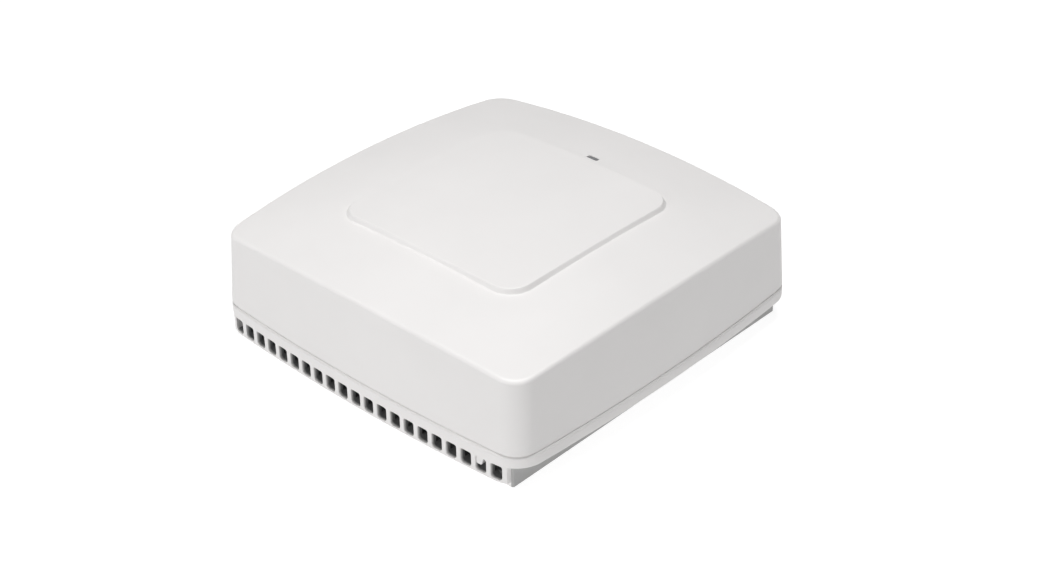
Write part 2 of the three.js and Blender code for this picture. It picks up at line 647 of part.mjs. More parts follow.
function ethernetContacts() {
  const y1 = RECESS.low;
  const z = JACK.bottom + CONTACTS.rise;
  const comb = [];
  for (let k = 0; k < CONTACTS.count; k += 1) {
    const x = JACK.x + (k - (CONTACTS.count - 1) / 2) * CONTACTS.pitch;
    comb.push(box(x - CONTACTS.width / 2, x + CONTACTS.width / 2, y1 - 12.6, y1 - 3, z, z + 0.4));
  }
  const carrier = box(JACK.x - 4.2, JACK.x + 4.2, y1 - 13.2, y1 - 12, z - 0.6, z + 0.8);
  part('ethernet_contacts', union(carrier, ...comb), brass);
}

function powerJack() {
  const y1 = RECESS.low;
  const y0 = y1 - POWER.depth;
  const z1 = BOARD_BOTTOM - REST;
  const z0 = z1 - POWER.height;
  const middle = z0 + POWER.axis;
  const body = cut(
    box(POWER.x - POWER.width / 2, POWER.x + POWER.width / 2, y0, y1, z0, z1),
    rodY(POWER.x, middle, y1 - 10, y1 + 1, POWER.bore));
  part('power_jack_body', body, blackPlastic);
  part('power_jack_pin', rodY(POWER.x, middle, y1 - 9.7, y1 - 1, 1, 12), brass);
}

// ---------------------------------------------------------------- reset button

function resetButton() {
  const back = RECESS.low - RECESS.wall;
  const cap = union(
    rodY(RESET.x, RESET.z, back - 2, RECESS.low + 0.9, RESET.radius),
    rodY(RESET.x, RESET.z, back - 1.6, back - GAP, 3));
  part('reset_button', cap, blackPlastic);
  const plungerTip = back - 2.1;
  part('reset_plunger', rodY(RESET.x, RESET.z, plungerTip - 3.6, plungerTip, 1.3, 16), blackPlastic);
  const face = plungerTip - 1.2;
  const body = cut(
    box(RESET.x - 3, RESET.x + 3, face - 4.4, face, RESET.z - 3, BOARD_BOTTOM - REST),
    rodY(RESET.x, RESET.z, face - 3.6, face + 1, 1.3 + GAP, 16));
  part('reset_switch', body, blackPlastic);
}

// ---------------------------------------------------------------- status light

function lightPipe() {
  const low = BOARD_TOP + 1.3;
  const top = domeHeight(0, WINDOW.y) - 0.05;
  const bar = centredBox(0, WINDOW.y, WINDOW.width, WINDOW.depth, low, top);
  const collar = centredBox(0, WINDOW.y, WINDOW.width + 3, WINDOW.depth + 2, top - 5.5, top - 4.2);
  const surface = centredBox(0, WINDOW.y, WINDOW.width + 8, WINDOW.depth + 8, low - 1, top);
  part('led_light_pipe', union(bar, collar).intersect(surface), smokedLens);
}

// ---------------------------------------------------------------- antennas

function antennaTray() {
  const sheet = prism(roundedRectangle(-TRAY_HALF, TRAY_HALF, -TRAY_HALF, TRAY_HALF, 4),
    TRAY_BOTTOM, TRAY_TOP);
  const footLow = BOARD_TOP + REST;
  const depth = 3.4;
  const legs = CORNERS.flatMap(([sx, sy]) => {
    const x = sx * BOARD_SCREW;
    const y = sy * BOARD_SCREW;
    const inner = x - sx * 4.2;
    return [
      box(Math.min(inner, x + sx * 3), Math.max(inner, x + sx * 3), y - depth, y + depth,
        footLow, footLow + TRAY_FOOT),
      box(Math.min(inner, inner + sx), Math.max(inner, inner + sx), y - depth, y + depth,
        footLow, TRAY_TOP),
    ];
  });
  const screwAccess = CORNERS.map(([sx, sy]) =>
    rodZ(sx * BOARD_SCREW, sy * BOARD_SCREW, TRAY_BOTTOM - 1, TRAY_TOP + 1, 2.8, 12));
  const screwHoles = CORNERS.map(([sx, sy]) =>
    rodZ(sx * BOARD_SCREW, sy * BOARD_SCREW, footLow - 1, footLow + 2, PILOT, 10));
  const lightNotch = box(-4.5, 4.5, WINDOW.y - 3, TRAY_HALF + 1, TRAY_BOTTOM - 1, TRAY_TOP + 1);
  const leadHoles = ANTENNAS.map((antenna) =>
    rodZ(...trayHole(antenna), TRAY_BOTTOM - 1, TRAY_TOP + 1, 2, 12));
  part('antenna_tray', cut(union(sheet, ...legs), ...screwAccess, ...screwHoles, lightNotch,
    ...leadHoles), aluminium);
}

const ANTENNAS = [
  { name: '24ghz_1', x: 31, y: -31, turn: 45, length: 26, height: 8, plug: [43, -3], way: -1 },
  { name: '24ghz_2', x: -31, y: 31, turn: 225, length: 26, height: 8, plug: [-45, 10], way: 1 },
  { name: '5ghz_1', x: 31, y: 31, turn: 135, length: 18, height: 6, plug: [34, 19], way: -1 },
  { name: '5ghz_2', x: -31, y: -31, turn: 315, length: 18, height: 6, plug: [-45, -3], way: -1 },
];

// Where an antenna's lead passes through the tray, a little outboard of its plug.
const trayHole = ({ plug, way }) => [plug[0], plug[1] + 5 * way];

// A stamped inverted-F element: a foot, two upright legs and a long top strip.
function antennaElement({ x, y, turn, length, height }) {
  const z = TRAY_TOP + REST;
  const points = [
    [-5, 0], [3, 0], [3, 0.6], [0.6, 0.6], [0.6, height - 0.6], [5, height - 0.6], [5, 2.4],
    [5.6, 2.4], [5.6, height - 0.6], [length - 5, height - 0.6], [length - 5, height],
    [0, height], [0, 0.6], [-5, 0.6],
  ].map(([px, pz]) => new THREE.Vector2(px, pz));
  const geometry = new THREE.ExtrudeGeometry(new THREE.Shape(points), { depth: 8, bevelEnabled: false });
  geometry.translate(-8, 0, -4);
  geometry.rotateX(Math.PI / 2);
  geometry.rotateZ(THREE.MathUtils.degToRad(turn));
  geometry.translate(x, y, z);
  return toSolid(geometry);
}

// A thin coaxial lead from beside each element, through the tray, down to its plug.
function antennaLead(antenna) {
  const { x, y, plug, way } = antenna;
  const start = [x - 3.9 * Math.sign(x), y - 3.9 * Math.sign(y)];
  const hole = trayHole(antenna);
  const half = [(start[0] + hole[0]) / 2, (start[1] + hole[1]) / 2];
  return bentRod([
    [...start, TRAY_TOP + 1.3], [...half, TRAY_TOP + 1.1],
    [hole[0], hole[1] + 1.4 * way, TRAY_TOP + 1], [...hole, TRAY_TOP - 0.5],
    [hole[0], hole[1] - 0.4 * way, TRAY_BOTTOM - 2], [plug[0], plug[1] + way, BOARD_TOP + 3.4],
    [...plug, BOARD_TOP + 1.6],
  ], 0.6, 16);
}

function antennaPlug({ plug: [x, y] }) {
  return turned(x, y, BOARD_TOP + REST, [[0, 0], [1.3, 0], [1.3, 0.8], [1, 1.2], [0, 1.2]], 12);
}

function antennas() {
  for (const antenna of ANTENNAS) {
    part(`antenna_${antenna.name}`, antennaElement(antenna), brass);
    part(`antenna_lead_${antenna.name}`, antennaLead(antenna), cableBlack);
    part(`antenna_plug_${antenna.name}`, antennaPlug(antenna), brass);
  }
}

// ---------------------------------------------------------------- label

function blankLabel() {
  const edge = 0.4;
  part('blank_label', box(LABEL.x0 + edge, LABEL.x1 - edge, LABEL.y0 + edge, LABEL.y1 - edge, 0.05, 0.25),
    labelWhite);
}

// ---------------------------------------------------------------- assembly

topCover();
part('base_housing', baseHousing(), whitePlastic);
backPlate();
plateScrews();
housingScrews();
mainBoard();
boardScrews();
boardParts();
processorAndHeatsink();
ethernetJack();
ethernetContacts();
powerJack();
resetButton();
lightPipe();
antennaTray();
antennas();
blankLabel();

export default object;
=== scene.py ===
"""A compact square ceiling access point on a pale sweep, with its vented side towards the camera's left.

Geometry is built in millimetres: +Z up through the domed cover, the vents on the -Y side, the cable
recess open downwards and towards +Y. The cover and the base are drawn from the lower edge of the vented
skirt and then lifted by the foot's height. Every mesh is scaled to metres when it is made.
"""

import json
import math

import bmesh
import bpy
from mathutils import Matrix, Vector


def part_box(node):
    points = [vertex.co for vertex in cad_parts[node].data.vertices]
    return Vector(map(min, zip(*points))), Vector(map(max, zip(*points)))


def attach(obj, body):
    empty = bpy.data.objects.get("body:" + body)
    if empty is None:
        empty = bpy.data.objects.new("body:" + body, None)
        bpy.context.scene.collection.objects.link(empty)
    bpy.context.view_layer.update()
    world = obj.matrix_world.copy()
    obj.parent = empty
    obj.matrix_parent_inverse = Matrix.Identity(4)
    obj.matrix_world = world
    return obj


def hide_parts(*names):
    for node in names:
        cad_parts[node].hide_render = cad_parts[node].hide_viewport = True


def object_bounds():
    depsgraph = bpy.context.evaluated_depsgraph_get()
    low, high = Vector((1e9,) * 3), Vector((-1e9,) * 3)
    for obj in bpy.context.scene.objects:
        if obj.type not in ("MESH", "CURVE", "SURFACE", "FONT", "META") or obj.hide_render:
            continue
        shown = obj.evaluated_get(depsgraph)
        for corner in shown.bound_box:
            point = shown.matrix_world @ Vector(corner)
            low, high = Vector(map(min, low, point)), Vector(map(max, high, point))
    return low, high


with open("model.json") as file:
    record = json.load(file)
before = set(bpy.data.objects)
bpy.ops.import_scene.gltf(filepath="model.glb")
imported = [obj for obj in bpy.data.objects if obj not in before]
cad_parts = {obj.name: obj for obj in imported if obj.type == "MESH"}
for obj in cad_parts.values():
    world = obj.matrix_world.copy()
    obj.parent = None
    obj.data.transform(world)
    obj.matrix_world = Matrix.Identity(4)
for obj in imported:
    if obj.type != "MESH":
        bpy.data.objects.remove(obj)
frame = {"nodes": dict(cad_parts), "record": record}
cad_low, cad_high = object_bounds()

MM = 0.001
IN_MM = 1000.0             # turns object coordinates, in metres, into millimetres

# -------- driving dimensions, in millimetres

COVER_HALF = 70.0          # half width across the mid-sides, at the lower edge
COVER_DRAFT = 1.3          # how much each side leans in towards the top
SIDE_BOW = 2.94            # how far a side bulges beyond the line of its corners
CORNER_RADIUS = 8.25
COVER_WALL = 2.2
COVER_BOTTOM = 10.5
COVER_LIP = 0.2            # rounding of the cover's lower edge
CREASE = 1.2               # rounding between the walls and the dome
DOME_TOP = 45.34
DOME_DROP = 0.0013
DOME_CORNER_LIFT = 9.3e-8

PANEL_HALF = 40.3          # foot of the raised panel's bevel
PANEL_BOW = 0.7
PANEL_RADIUS = 9.5
PANEL_BEVEL = 1.4
PANEL_TOP = 45.7
PANEL_DROP = 0.0008

RIM_HALF = 70.62
RIM_RADIUS = 10.8
RIM_BOTTOM = 6.1
RIM_TOP = 10.2
RIM_EDGE = 1.0             # rounding of the rim's upper edge
RIM_FOOT = 0.5             # rounding of its lower edge
TONGUE_HALF = 69.84        # a low step behind the seam, so that the seam is a shallow groove
TONGUE_TOP = 10.46
UPSTAND_HALF = 67.3
UPSTAND_TOP = 13.5
UPSTAND_WALL = 1.6
RIM_INNER = 62.2
RIM_INNER_RADIUS = 4.8

FOOT = 2.0                 # how far the set-back lower body reaches below the skirt
FOOT_WIDTH = 2.4
LOWER_HALF = 63.33
LOWER_FRONT = -65.6
LOWER_BACK = 64.5
LOWER_RADIUS = 1.0
LOWER_EDGE = 0.3           # rounding of the lower edges of the skirt and the foot
SKIRT_HALF = 62.6
SKIRT_SET_IN = 0.012       # keeps the skirt's face just behind the rim's
BASE_WALL = 2.0
FLOOR = 1.8
FLOOR_CORE = 0.5           # height inside the floor, from which what stands on it rises

SLOT_COUNT = 21
SLOT_PITCH = 5.893
SLOT_WIDTH = 4.1
SLOT_BOTTOM = 0.9
SLOT_TOP = 6.05
SLOT_LOW_RADIUS = 1.2
SLOT_HIGH_RADIUS = 0.6
SLOT_FLARE = 0.22          # rounding of the slots' outer edges
SLOT_BACK = -65.2          # the slots are cut in as far as this
LATCH_SLOT = 19            # the slot that shows the tip of the cover's latch
LATCH_LOW = 3.3
LATCH_FRONT = -68.5
LATCH_BACK = -65.5

KEYHOLE_NECK = 2.3
KEYHOLE_HEAD = 4.6
KEYHOLE_RUN = 9.0
KEYHOLES = [(-38, -38), (38, -38), (-38, 4), (38, 4)]
CORNERS = [(1, 1), (-1, 1), (-1, -1), (1, -1)]
HOUSING_SCREWS = [(56.5 * sx, 56.5 * sy) for sx, sy in CORNERS]
BOARD_SCREWS = [(47.5 * sx, 47.5 * sy) for sx, sy in CORNERS]
PLATE_SCREWS = [(-47, -47), (47, -47), (-47, 13.5), (47, 13.5)]
HEATSINK_SCREWS = [(-22, -44), (22, -6)]
SCREW_BORE = 1.8
SCREW_WELL = 3.3
BOARD_PILOT = 1.5
BOARD_POST = 3.2
BASE_BOSS = 4.6
COVER_POST = 4.2
RIB_X = 30
RIB_LOW = 36
RIB_END = 66.6
RIB_HALF = 0.75

RECESS_X = 30.0
RECESS_LOW = 22.0
RECESS_HIGH = 58.0
RECESS_ROOF = 14.6
RECESS_WALL = 1.6
CHANNEL_X = 14.0
CHANNEL_ROOF = 5.6
PAD_TOP = 3.3
SHIELD = 0.4               # the network socket's sheet
PLUG_HALF = 5.9
CONTACTS = 8
CONTACT_PITCH = 1.02
POWER_BORE = 3.0
PLATE_SEAT = (-52.3, 52.3, -52.3, 18.3)
LABEL_SEAT = (34, 60, 26, 44)
SOCKET_WINDOWS = [(-20.4, -3.6, 19, 24, 3.3, 18), (1.1, 10.9, 19, 24, 5.6, 18)]
RESET_PLACE = (20, 24, 10)
RESET_BORE = 2.2
KEYHOLE_CUP = 5.4          # inner radius of the cups that take the screw heads
KEYHOLE_CUP_WALL = 1.2
KEYHOLE_CUP_ROOF = 5.6

WINDOW_Y = 43.0
WINDOW_WIDTH = 4.3
WINDOW_DEPTH = 1.7
WINDOW_RADIUS = 0.42
WINDOW_GAP = 0.12
LENS_SUNK = 0.12           # how far the light window lies below the dome

SIDE_STEPS = 40            # mesh steps along a side and round half a corner
CORNER_STEPS = 7

WHITE = (0.815, 0.80, 0.793)
# the lower body's colour: partly its own greyer plastic, partly painted shade under the rim's overhang
LOWER_GREY_AND_SHADE = (0.44, 0.437, 0.435)
# painted shade: a dark grey standing in for the shade inside the cavity behind the vent slots
SLOT_SHADE_GREY = (0.2, 0.2, 0.202)
SLOT_SHADE_START = 0.45          # the painted slot shade fades in from this depth behind the bowed face
SLOT_SHADE_SLOPE = 1.2
BOW_REACH = 67.7           # half the chord of the bowed face, near enough for the painted slot shade's edge


# -------- meshes

def new_object(name, vertices, faces):
    mesh = bpy.data.meshes.new(name)
    mesh.from_pydata([[value * MM for value in vertex] for vertex in vertices], [], faces)
    mesh.update()
    made = bpy.data.objects.new(name, mesh)
    bpy.context.scene.collection.objects.link(made)
    return made


def tidy_normals(made):
    bm = bmesh.new()
    bm.from_mesh(made.data)
    bmesh.ops.remove_doubles(bm, verts=bm.verts, dist=1e-7)
    bmesh.ops.recalc_face_normals(bm, faces=bm.faces)
    bm.to_mesh(made.data)
    bm.free()
    return made


def boolean(target, tool, operation):
    """Cuts or joins tool into target, and removes the tool."""
    modifier = target.modifiers.new("boolean", "BOOLEAN")
    modifier.solver = "MANIFOLD"
    modifier.operation = operation
    modifier.object = tool
    evaluated = target.evaluated_get(bpy.context.evaluated_depsgraph_get())
    mesh = bpy.data.meshes.new_from_object(evaluated)
    target.modifiers.clear()
    old = target.data
    target.data = mesh
    bpy.data.meshes.remove(old)
    bpy.data.meshes.remove(tool.data)
    return target


def cut(target, *tools):
    for tool in tools:
        boolean(target, tool, "DIFFERENCE")
    return target


def join(target, *tools):
    for tool in tools:
        boolean(target, tool, "UNION")
    return target


def several(tools):
    """One object of separate solids that don't touch."""
    first, *others = tools
    bm = bmesh.new()
    for tool in tools:
        bm.from_mesh(tool.data)
    bm.to_mesh(first.data)
    bm.free()
    for other in others:
        bpy.data.meshes.remove(other.data)
    return first


def finish_piece(made, body, slot, replaces=(), sharp=32):
    """Smooth shading with sharp edges kept, the slot's material, and its place in the frame."""
    mesh = made.data
    mesh.shade_smooth()
    mesh.set_sharp_from_angle(angle=math.radians(sharp))
    weighted = made.modifiers.new("weighted_normals", "WEIGHTED_NORMAL")
    weighted.keep_sharp = True
    weighted.weight = 80
    mesh.materials.clear()
    mesh.materials.append(MATERIALS[slot])
    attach(made, body)
    if replaces:
        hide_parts(*replaces)


def ring_faces(rings, count):
    """Quads between neighbouring rings of count points."""
    faces = []
    for ring in range(rings - 1):
        low = ring * count
        high = low + count
        for i in range(count):
            j = (i + 1) % count
            faces.append((low + i, low + j, high + j, high + i))
    return faces


def loft(name, rings):
    """A closed solid through rings of points, with a flat face on each end."""
    count = len(rings[0])
    vertices = [point for ring in rings for point in ring]
    faces = ring_faces(len(rings), count)
    faces.append(tuple(reversed(range(count))))
    faces.append(tuple(range((len(rings) - 1) * count, len(rings) * count)))
    return tidy_normals(new_object(name, vertices, faces))


def domed_loft(name, rings, height):
    """A loft whose last ring is closed by a grid of quads that follows height(x, y)."""
    count = len(rings[0])
    n = count // 4
    vertices = [point for ring in rings for point in ring]
    faces = ring_faces(len(rings), count)
    faces.append(tuple(reversed(range(count))))
    start = (len(rings) - 1) * count
    edge = rings[-1]

    def grid(i, j):
        """The index of grid point i, j, where the grid's border is the ring itself."""
        if j == 0:
            return start + i
        if i == n:
            return start + n + j
        if j == n:
            return start + 2 * n + (n - i)
        if i == 0:
            return start + (4 * n - j) % count
        return inner[(i, j)]

    inner = {}
    corners = [edge[0], edge[n], edge[2 * n], edge[3 * n]]
    for i in range(1, n):
        for j in range(1, n):
            u = i / n
            v = j / n
            point = []
            for axis in (0, 1):
                across = (1 - v) * edge[i][axis] + v * edge[3 * n - i][axis]
                along = (1 - u) * edge[4 * n - j][axis] + u * edge[n + j][axis]
                bilinear = ((1 - u) * (1 - v) * corners[0][axis] + u * (1 - v) * corners[1][axis]
                            + u * v * corners[2][axis] + (1 - u) * v * corners[3][axis])
                point.append(across + along - bilinear)
            inner[(i, j)] = len(vertices)
            vertices.append((*point, height(*point)))
    for i in range(n):
        for j in range(n):
            faces.append((grid(i, j), grid(i + 1, j), grid(i + 1, j + 1), grid(i, j + 1)))
    return tidy_normals(new_object(name, vertices, faces))


def bowed_square(half, bow, radius, side_steps=SIDE_STEPS, corner_steps=CORNER_STEPS):
    """A square with bowed sides and round corners, counter-clockwise from the +X -Y diagonal."""
    chord = half - bow
    side_radius = (chord ** 2 + bow ** 2) / (2 * bow)
    centre = half - side_radius
    inner = side_radius - radius
    corner = (2 * centre + math.sqrt(4 * centre ** 2 - 8 * (centre ** 2 - inner ** 2))) / 4
    reach = math.atan2(corner, corner - centre)
    quarter = []
    for i in range(corner_steps):
        angle = -math.pi / 4 + (math.pi / 4 - reach) * i / corner_steps
        quarter.append((corner + radius * math.cos(angle), -corner + radius * math.sin(angle)))
    for i in range(side_steps):
        angle = -reach + 2 * reach * i / side_steps
        quarter.append((centre + side_radius * math.cos(angle), side_radius * math.sin(angle)))
    for i in range(corner_steps):
        angle = reach + (math.pi / 4 - reach) * i / corner_steps
        quarter.append((corner + radius * math.cos(angle), corner + radius * math.sin(angle)))
    outline = []
    for side in range(4):
        cosine = round(math.cos(side * math.pi / 2))
        sine = round(math.sin(side * math.pi / 2))
        outline += [(x * cosine - y * sine, x * sine + y * cosine) for x, y in quarter]
    return outline


def raised(outline, height):
    """The outline's points at a height, which is a number or a function of x and y."""
    return [(x, y, height(x, y) if callable(height) else height) for x, y in outline]


def rounded_rectangle(x0, x1, y0, y1, radius, steps=6):
    corners = [(x1 - radius, y0 + radius, -90), (x1 - radius, y1 - radius, 0),
               (x0 + radius, y1 - radius, 90), (x0 + radius, y0 + radius, 180)]
    outline = []
    for cx, cy, start in corners:
        for i in range(steps + 1):
            angle = math.radians(start + 90 * i / steps)
            outline.append((cx + radius * math.cos(angle), cy + radius * math.sin(angle)))
    return outline


def circle(x, y, radius, sides=32):
    turns = [2 * math.pi * i / sides for i in range(sides)]
    return [(x + radius * math.cos(turn), y + radius * math.sin(turn)) for turn in turns]


def quarter_arc(radius, steps=4):
    """(inset, rise) pairs from (radius, 0) round to (0, radius)."""
    turns = [math.pi / 2 * i / steps for i in range(steps + 1)]
    return [(radius * (1 - math.sin(turn)), radius * (1 - math.cos(turn))) for turn in turns]


def plate(name, outline_at, z0, z1, low_edge=0.0, high_edge=0.0):
    """An upright prism with rounded lower and upper edges. outline_at(inset) gives the outline."""
    rings = []
    if low_edge:
        rings += [raised(outline_at(inset), z0 + rise) for inset, rise in quarter_arc(low_edge)]
    else:
        rings.append(raised(outline_at(0), z0))
    if high_edge:
        rings += [raised(outline_at(inset), z1 - rise) for inset, rise in reversed(quarter_arc(high_edge))]
    else:
        rings.append(raised(outline_at(0), z1))
    return loft(name, rings)


def block(name, x0, x1, y0, y1, z0, z1, radius=0.5, edge=0.0):
    """A box with round upright edges and, with edge, a rounded top and bottom."""
    def outline_at(inset):
        return rounded_rectangle(x0 + inset, x1 - inset, y0 + inset, y1 - inset,
                                 max(radius - inset, 0.02), 4)
    return plate(name, outline_at, z0, z1, edge, edge)


def mouth_cutter(name, outline_at, z0, z1, flare):
    """A cutter up through z0, whose mouth at z0 widens by flare in a round edge."""
    rings = [raised(outline_at(-flare), z0 - 1.8)]
    rings += [raised(outline_at(inset - flare), z0 + rise)
              for inset, rise in [(0, 0), (0.29 * flare, 0.06 * flare), (0.62 * flare, 0.29 * flare),
                                  (0.9 * flare, 0.68 * flare), (flare, flare)]]
    rings.append(raised(outline_at(0), z1))
    return loft(name, rings)


def box_cutter(name, x0, x1, y0, y1, z0, z1, radius=1.0, flare=0.3):
    def outline_at(inset):
        return rounded_rectangle(x0 + inset, x1 - inset, y0 + inset, y1 - inset, radius + max(-inset, 0))
    return mouth_cutter(name, outline_at, z0, z1, flare)


def round_cutter(name, x, y, radius, z0, z1, flare=0.25):
    return mouth_cutter(name, lambda inset: circle(x, y, radius - inset), z0, z1, flare)


def columns(name, places, radius, z0, z1):
    """Plain round posts or bores of one radius and height."""
    return several([loft(name, [raised(circle(x, y, radius), z) for z in (z0, z1)]) for x, y in places])


def turned(name, profile, sides=32):
    """A solid of revolution about Z from (radius, height) pairs that start and end on the axis."""
    vertices = [(0, 0, profile[0][1])]
    rings = profile[1:-1]
    for radius, height in rings:
        vertices += raised(circle(0, 0, radius, sides), height)
    vertices.append((0, 0, profile[-1][1]))
    last = len(vertices) - 1
    faces = [tuple(1 + index for index in face) for face in ring_faces(len(rings), sides)]
    for i in range(sides):
        j = (i + 1) % sides
        faces.append((0, 1 + j, 1 + i))
        faces.append((last, last - sides + i, last - sides + j))
    return tidy_normals(new_object(name, vertices, faces))


def place(made, x=0, y=0, z=0, turn_x=0):
    """Turns and moves the mesh itself, in degrees and millimetres."""
    moved = Matrix.Translation((x * MM, y * MM, z * MM))
    made.data.transform(moved @ Matrix.Rotation(math.radians(turn_x), 4, "X"))
    return made


# -------- cover

def dome_height(x, y):
    return DOME_TOP - DOME_DROP * (x * x + y * y) + DOME_CORNER_LIFT * x * x * y * y


def panel_height(x, y):
    return PANEL_TOP - PANEL_DROP * (x * x + y * y)


def mix(a, b, share):
    return a + (b - a) * share


def eased(share, soft=0.28):
    """0 to 1 with a straight middle and a round start and end, each a soft share long."""
    slope = 1 / (1 - soft)
    if share < soft:
        return slope * share * share / (2 * soft)
    if share > 1 - soft:
        return 1 - slope * (1 - share) ** 2 / (2 * soft)
    return slope * (share - soft / 2)


def cover_outer():
    rings = [raised(bowed_square(COVER_HALF - inset, SIDE_BOW, CORNER_RADIUS), COVER_BOTTOM + rise)
             for inset, rise in quarter_arc(COVER_LIP)]
    top = COVER_HALF - COVER_DRAFT
    wall_steps = 8
    for i in range(1, wall_steps + 1):
        share = i / wall_steps
        rings.append(raised(
            bowed_square(COVER_HALF - COVER_DRAFT * share, SIDE_BOW, CORNER_RADIUS),
            lambda x, y: mix(COVER_BOTTOM + COVER_LIP, dome_height(x, y) - CREASE, share)))
    crease_steps = 8
    for i in range(1, crease_steps + 1):
        angle = math.pi / 2 * i / crease_steps
        rings.append(raised(
            bowed_square(top - CREASE * (1 - math.cos(angle)), SIDE_BOW, CORNER_RADIUS),
            lambda x, y: dome_height(x, y) - CREASE * (1 - math.sin(angle))))
    dome_steps = 18
    for i in range(1, dome_steps + 1):
        share = i / dome_steps
        rings.append(raised(
            bowed_square(mix(top - CREASE, PANEL_HALF, share), mix(SIDE_BOW, PANEL_BOW, share),
                         mix(CORNER_RADIUS, PANEL_RADIUS, share)), dome_height))
    bevel_steps = 12
    for i in range(1, bevel_steps + 1):
        share = i / bevel_steps
        rings.append(raised(
            bowed_square(PANEL_HALF - PANEL_BEVEL * share, PANEL_BOW, PANEL_RADIUS - PANEL_BEVEL * share),
            lambda x, y: mix(dome_height(x, y), panel_height(x, y), eased(share))))
    for inset in (PANEL_BEVEL + 1, PANEL_BEVEL + 3):
        outline = bowed_square(PANEL_HALF - inset, PANEL_BOW, PANEL_RADIUS - inset)
        rings.append(raised(outline, panel_height))
    return domed_loft("cover_shell", rings, panel_height)


def cover_inner():
    top = COVER_HALF - COVER_DRAFT - COVER_WALL
    radius = CORNER_RADIUS - COVER_WALL

    def inside(x, y):
        return dome_height(x, y) - COVER_WALL

    def outline(half, bow, corner):
        return bowed_square(half, bow, corner, 16, 4)

    rings = [raised(outline(COVER_HALF - COVER_WALL, SIDE_BOW, radius), COVER_BOTTOM - 1),
             raised(outline(top, SIDE_BOW, radius), lambda x, y: inside(x, y) - 1),
             raised(outline(top - 1, SIDE_BOW, radius), inside),
             raised(outline(54, 1.8, 6), inside),
             raised(outline(38, 0.7, 6), inside)]
    return domed_loft("cover_inside", rings, inside)


def cover_posts():
    reach = HOUSING_SCREWS[0][0] + COVER_POST
    return columns("post", HOUSING_SCREWS, COVER_POST, COVER_BOTTOM, dome_height(reach, reach) - 1)


def cover_ribs():
    steps = 24
    along = [mix(-RIB_END, RIB_END, i / steps) for i in range(steps + 1)]
    ribs = []
    for x in (-RIB_X, RIB_X):
        section = [(y, RIB_LOW) for y in along] + [(y, dome_height(x, y) - 1) for y in reversed(along)]
        ribs.append(loft("rib", [[(x + half, y, z) for y, z in section] for half in (RIB_HALF, -RIB_HALF)]))
    return several(ribs)


def slot_x(index):
    return (index - (SLOT_COUNT - 1) / 2) * SLOT_PITCH


def latch_hook():
    """The latch's barb, whose tip shows in the upper part of its slot."""
    left = slot_x(LATCH_SLOT) - SLOT_WIDTH / 2 + 0.1
    top = SLOT_TOP + 0.02
    outline = [(left, LATCH_LOW), (left + 1.75, LATCH_LOW), (left + 2.05, LATCH_LOW + 0.18),
               (left + 2.2, LATCH_LOW + 0.5), (left + 3.0, top), (left, top)]
    outline.reverse()
    return loft("latch_barb", [[(x, y, z) for x, z in outline] for y in (LATCH_BACK, LATCH_FRONT)])


def latch_arm():
    """The latch's stem, from the cover's wall down to the barb."""
    left = slot_x(LATCH_SLOT) - SLOT_WIDTH / 2 + 0.3
    return block("latch_arm", left, left + 3.2, -66.3, -64.9, 3.6, 31, 0.3)


def window_cutter():
    half_width = WINDOW_WIDTH / 2 + WINDOW_GAP
    half_depth = WINDOW_DEPTH / 2 + WINDOW_GAP
    surface = dome_height(0, WINDOW_Y)

    def outline_at(grow):
        return rounded_rectangle(-half_width - grow, half_width + grow, WINDOW_Y - half_depth - grow,
                                 WINDOW_Y + half_depth + grow, WINDOW_RADIUS + 0.03 + grow)
    rings = [raised(outline_at(0), surface - 10)]
    rings += [raised(outline_at(0.2 - inset), lambda x, y: dome_height(x, y) - rise)
              for inset, rise in ((0.2, 0.2), (0.14, 0.06), (0.0, -0.02))]
    rings.append(raised(outline_at(0.2), surface + 4))
    return loft("window", rings)


def build_cover():
    cover = cut(cover_outer(), cover_inner())
    join(cover, cover_posts(), cover_ribs(), latch_arm(), latch_hook())
    cut(cover, columns("pilot", HOUSING_SCREWS, SCREW_BORE, 9, 24), window_cutter())
    place(cover, z=FOOT)
    finish_piece(cover, "housing", "cover_plastic", ["top_cover"])


# -------- base

def front_y(x):
    """The -Y face of the rim and the skirt at x, taken between the outline's own points."""
    outline = bowed_square(RIM_HALF, SIDE_BOW, RIM_RADIUS)
    front = sorted(point for point in outline if point[1] < -60)
    for left, right in zip(front, front[1:]):
        if left[0] <= x <= right[0]:
            return mix(left[1], right[1], (x - left[0]) / (right[0] - left[0]))
    raise ValueError("x is beyond the front face")


def lower_outline(inset=0.0):
    return rounded_rectangle(-LOWER_HALF + inset, LOWER_HALF - inset, LOWER_FRONT + inset,
                             LOWER_BACK - inset, max(LOWER_RADIUS - inset, 0.1))


def skirt_outline(inset=0.0):
    """The rim's own front between the skirt's square ends, closed by a straight back."""
    steps = 60
    rounding = 0.25
    half = SKIRT_HALF - inset
    straight = half - rounding
    front = [mix(-straight, straight, i / steps) for i in range(steps + 1)]
    points = [(x, front_y(x) + SKIRT_SET_IN + inset) for x in front]
    end = points[-1][1] + rounding
    back = LOWER_FRONT + BASE_WALL + 1
    turns = [math.radians(turn) for turn in (30, 60, 90)]
    corner = [(straight + rounding * math.sin(turn), end - rounding * math.cos(turn)) for turn in turns]
    corner.append((half, back))
    return points + corner + [(-x, y) for x, y in reversed(corner)]


def rim_foot_outline(inset=0.0):
    """The rim's outline moved in, except where the skirt carries the rim's face on down."""
    full = bowed_square(RIM_HALF, SIDE_BOW, RIM_RADIUS)
    moved = bowed_square(RIM_HALF - inset, SIDE_BOW, RIM_RADIUS - inset)
    return [outer if outer[1] < LOWER_FRONT and abs(outer[0]) < SKIRT_HALF else inner
            for outer, inner in zip(full, moved)]


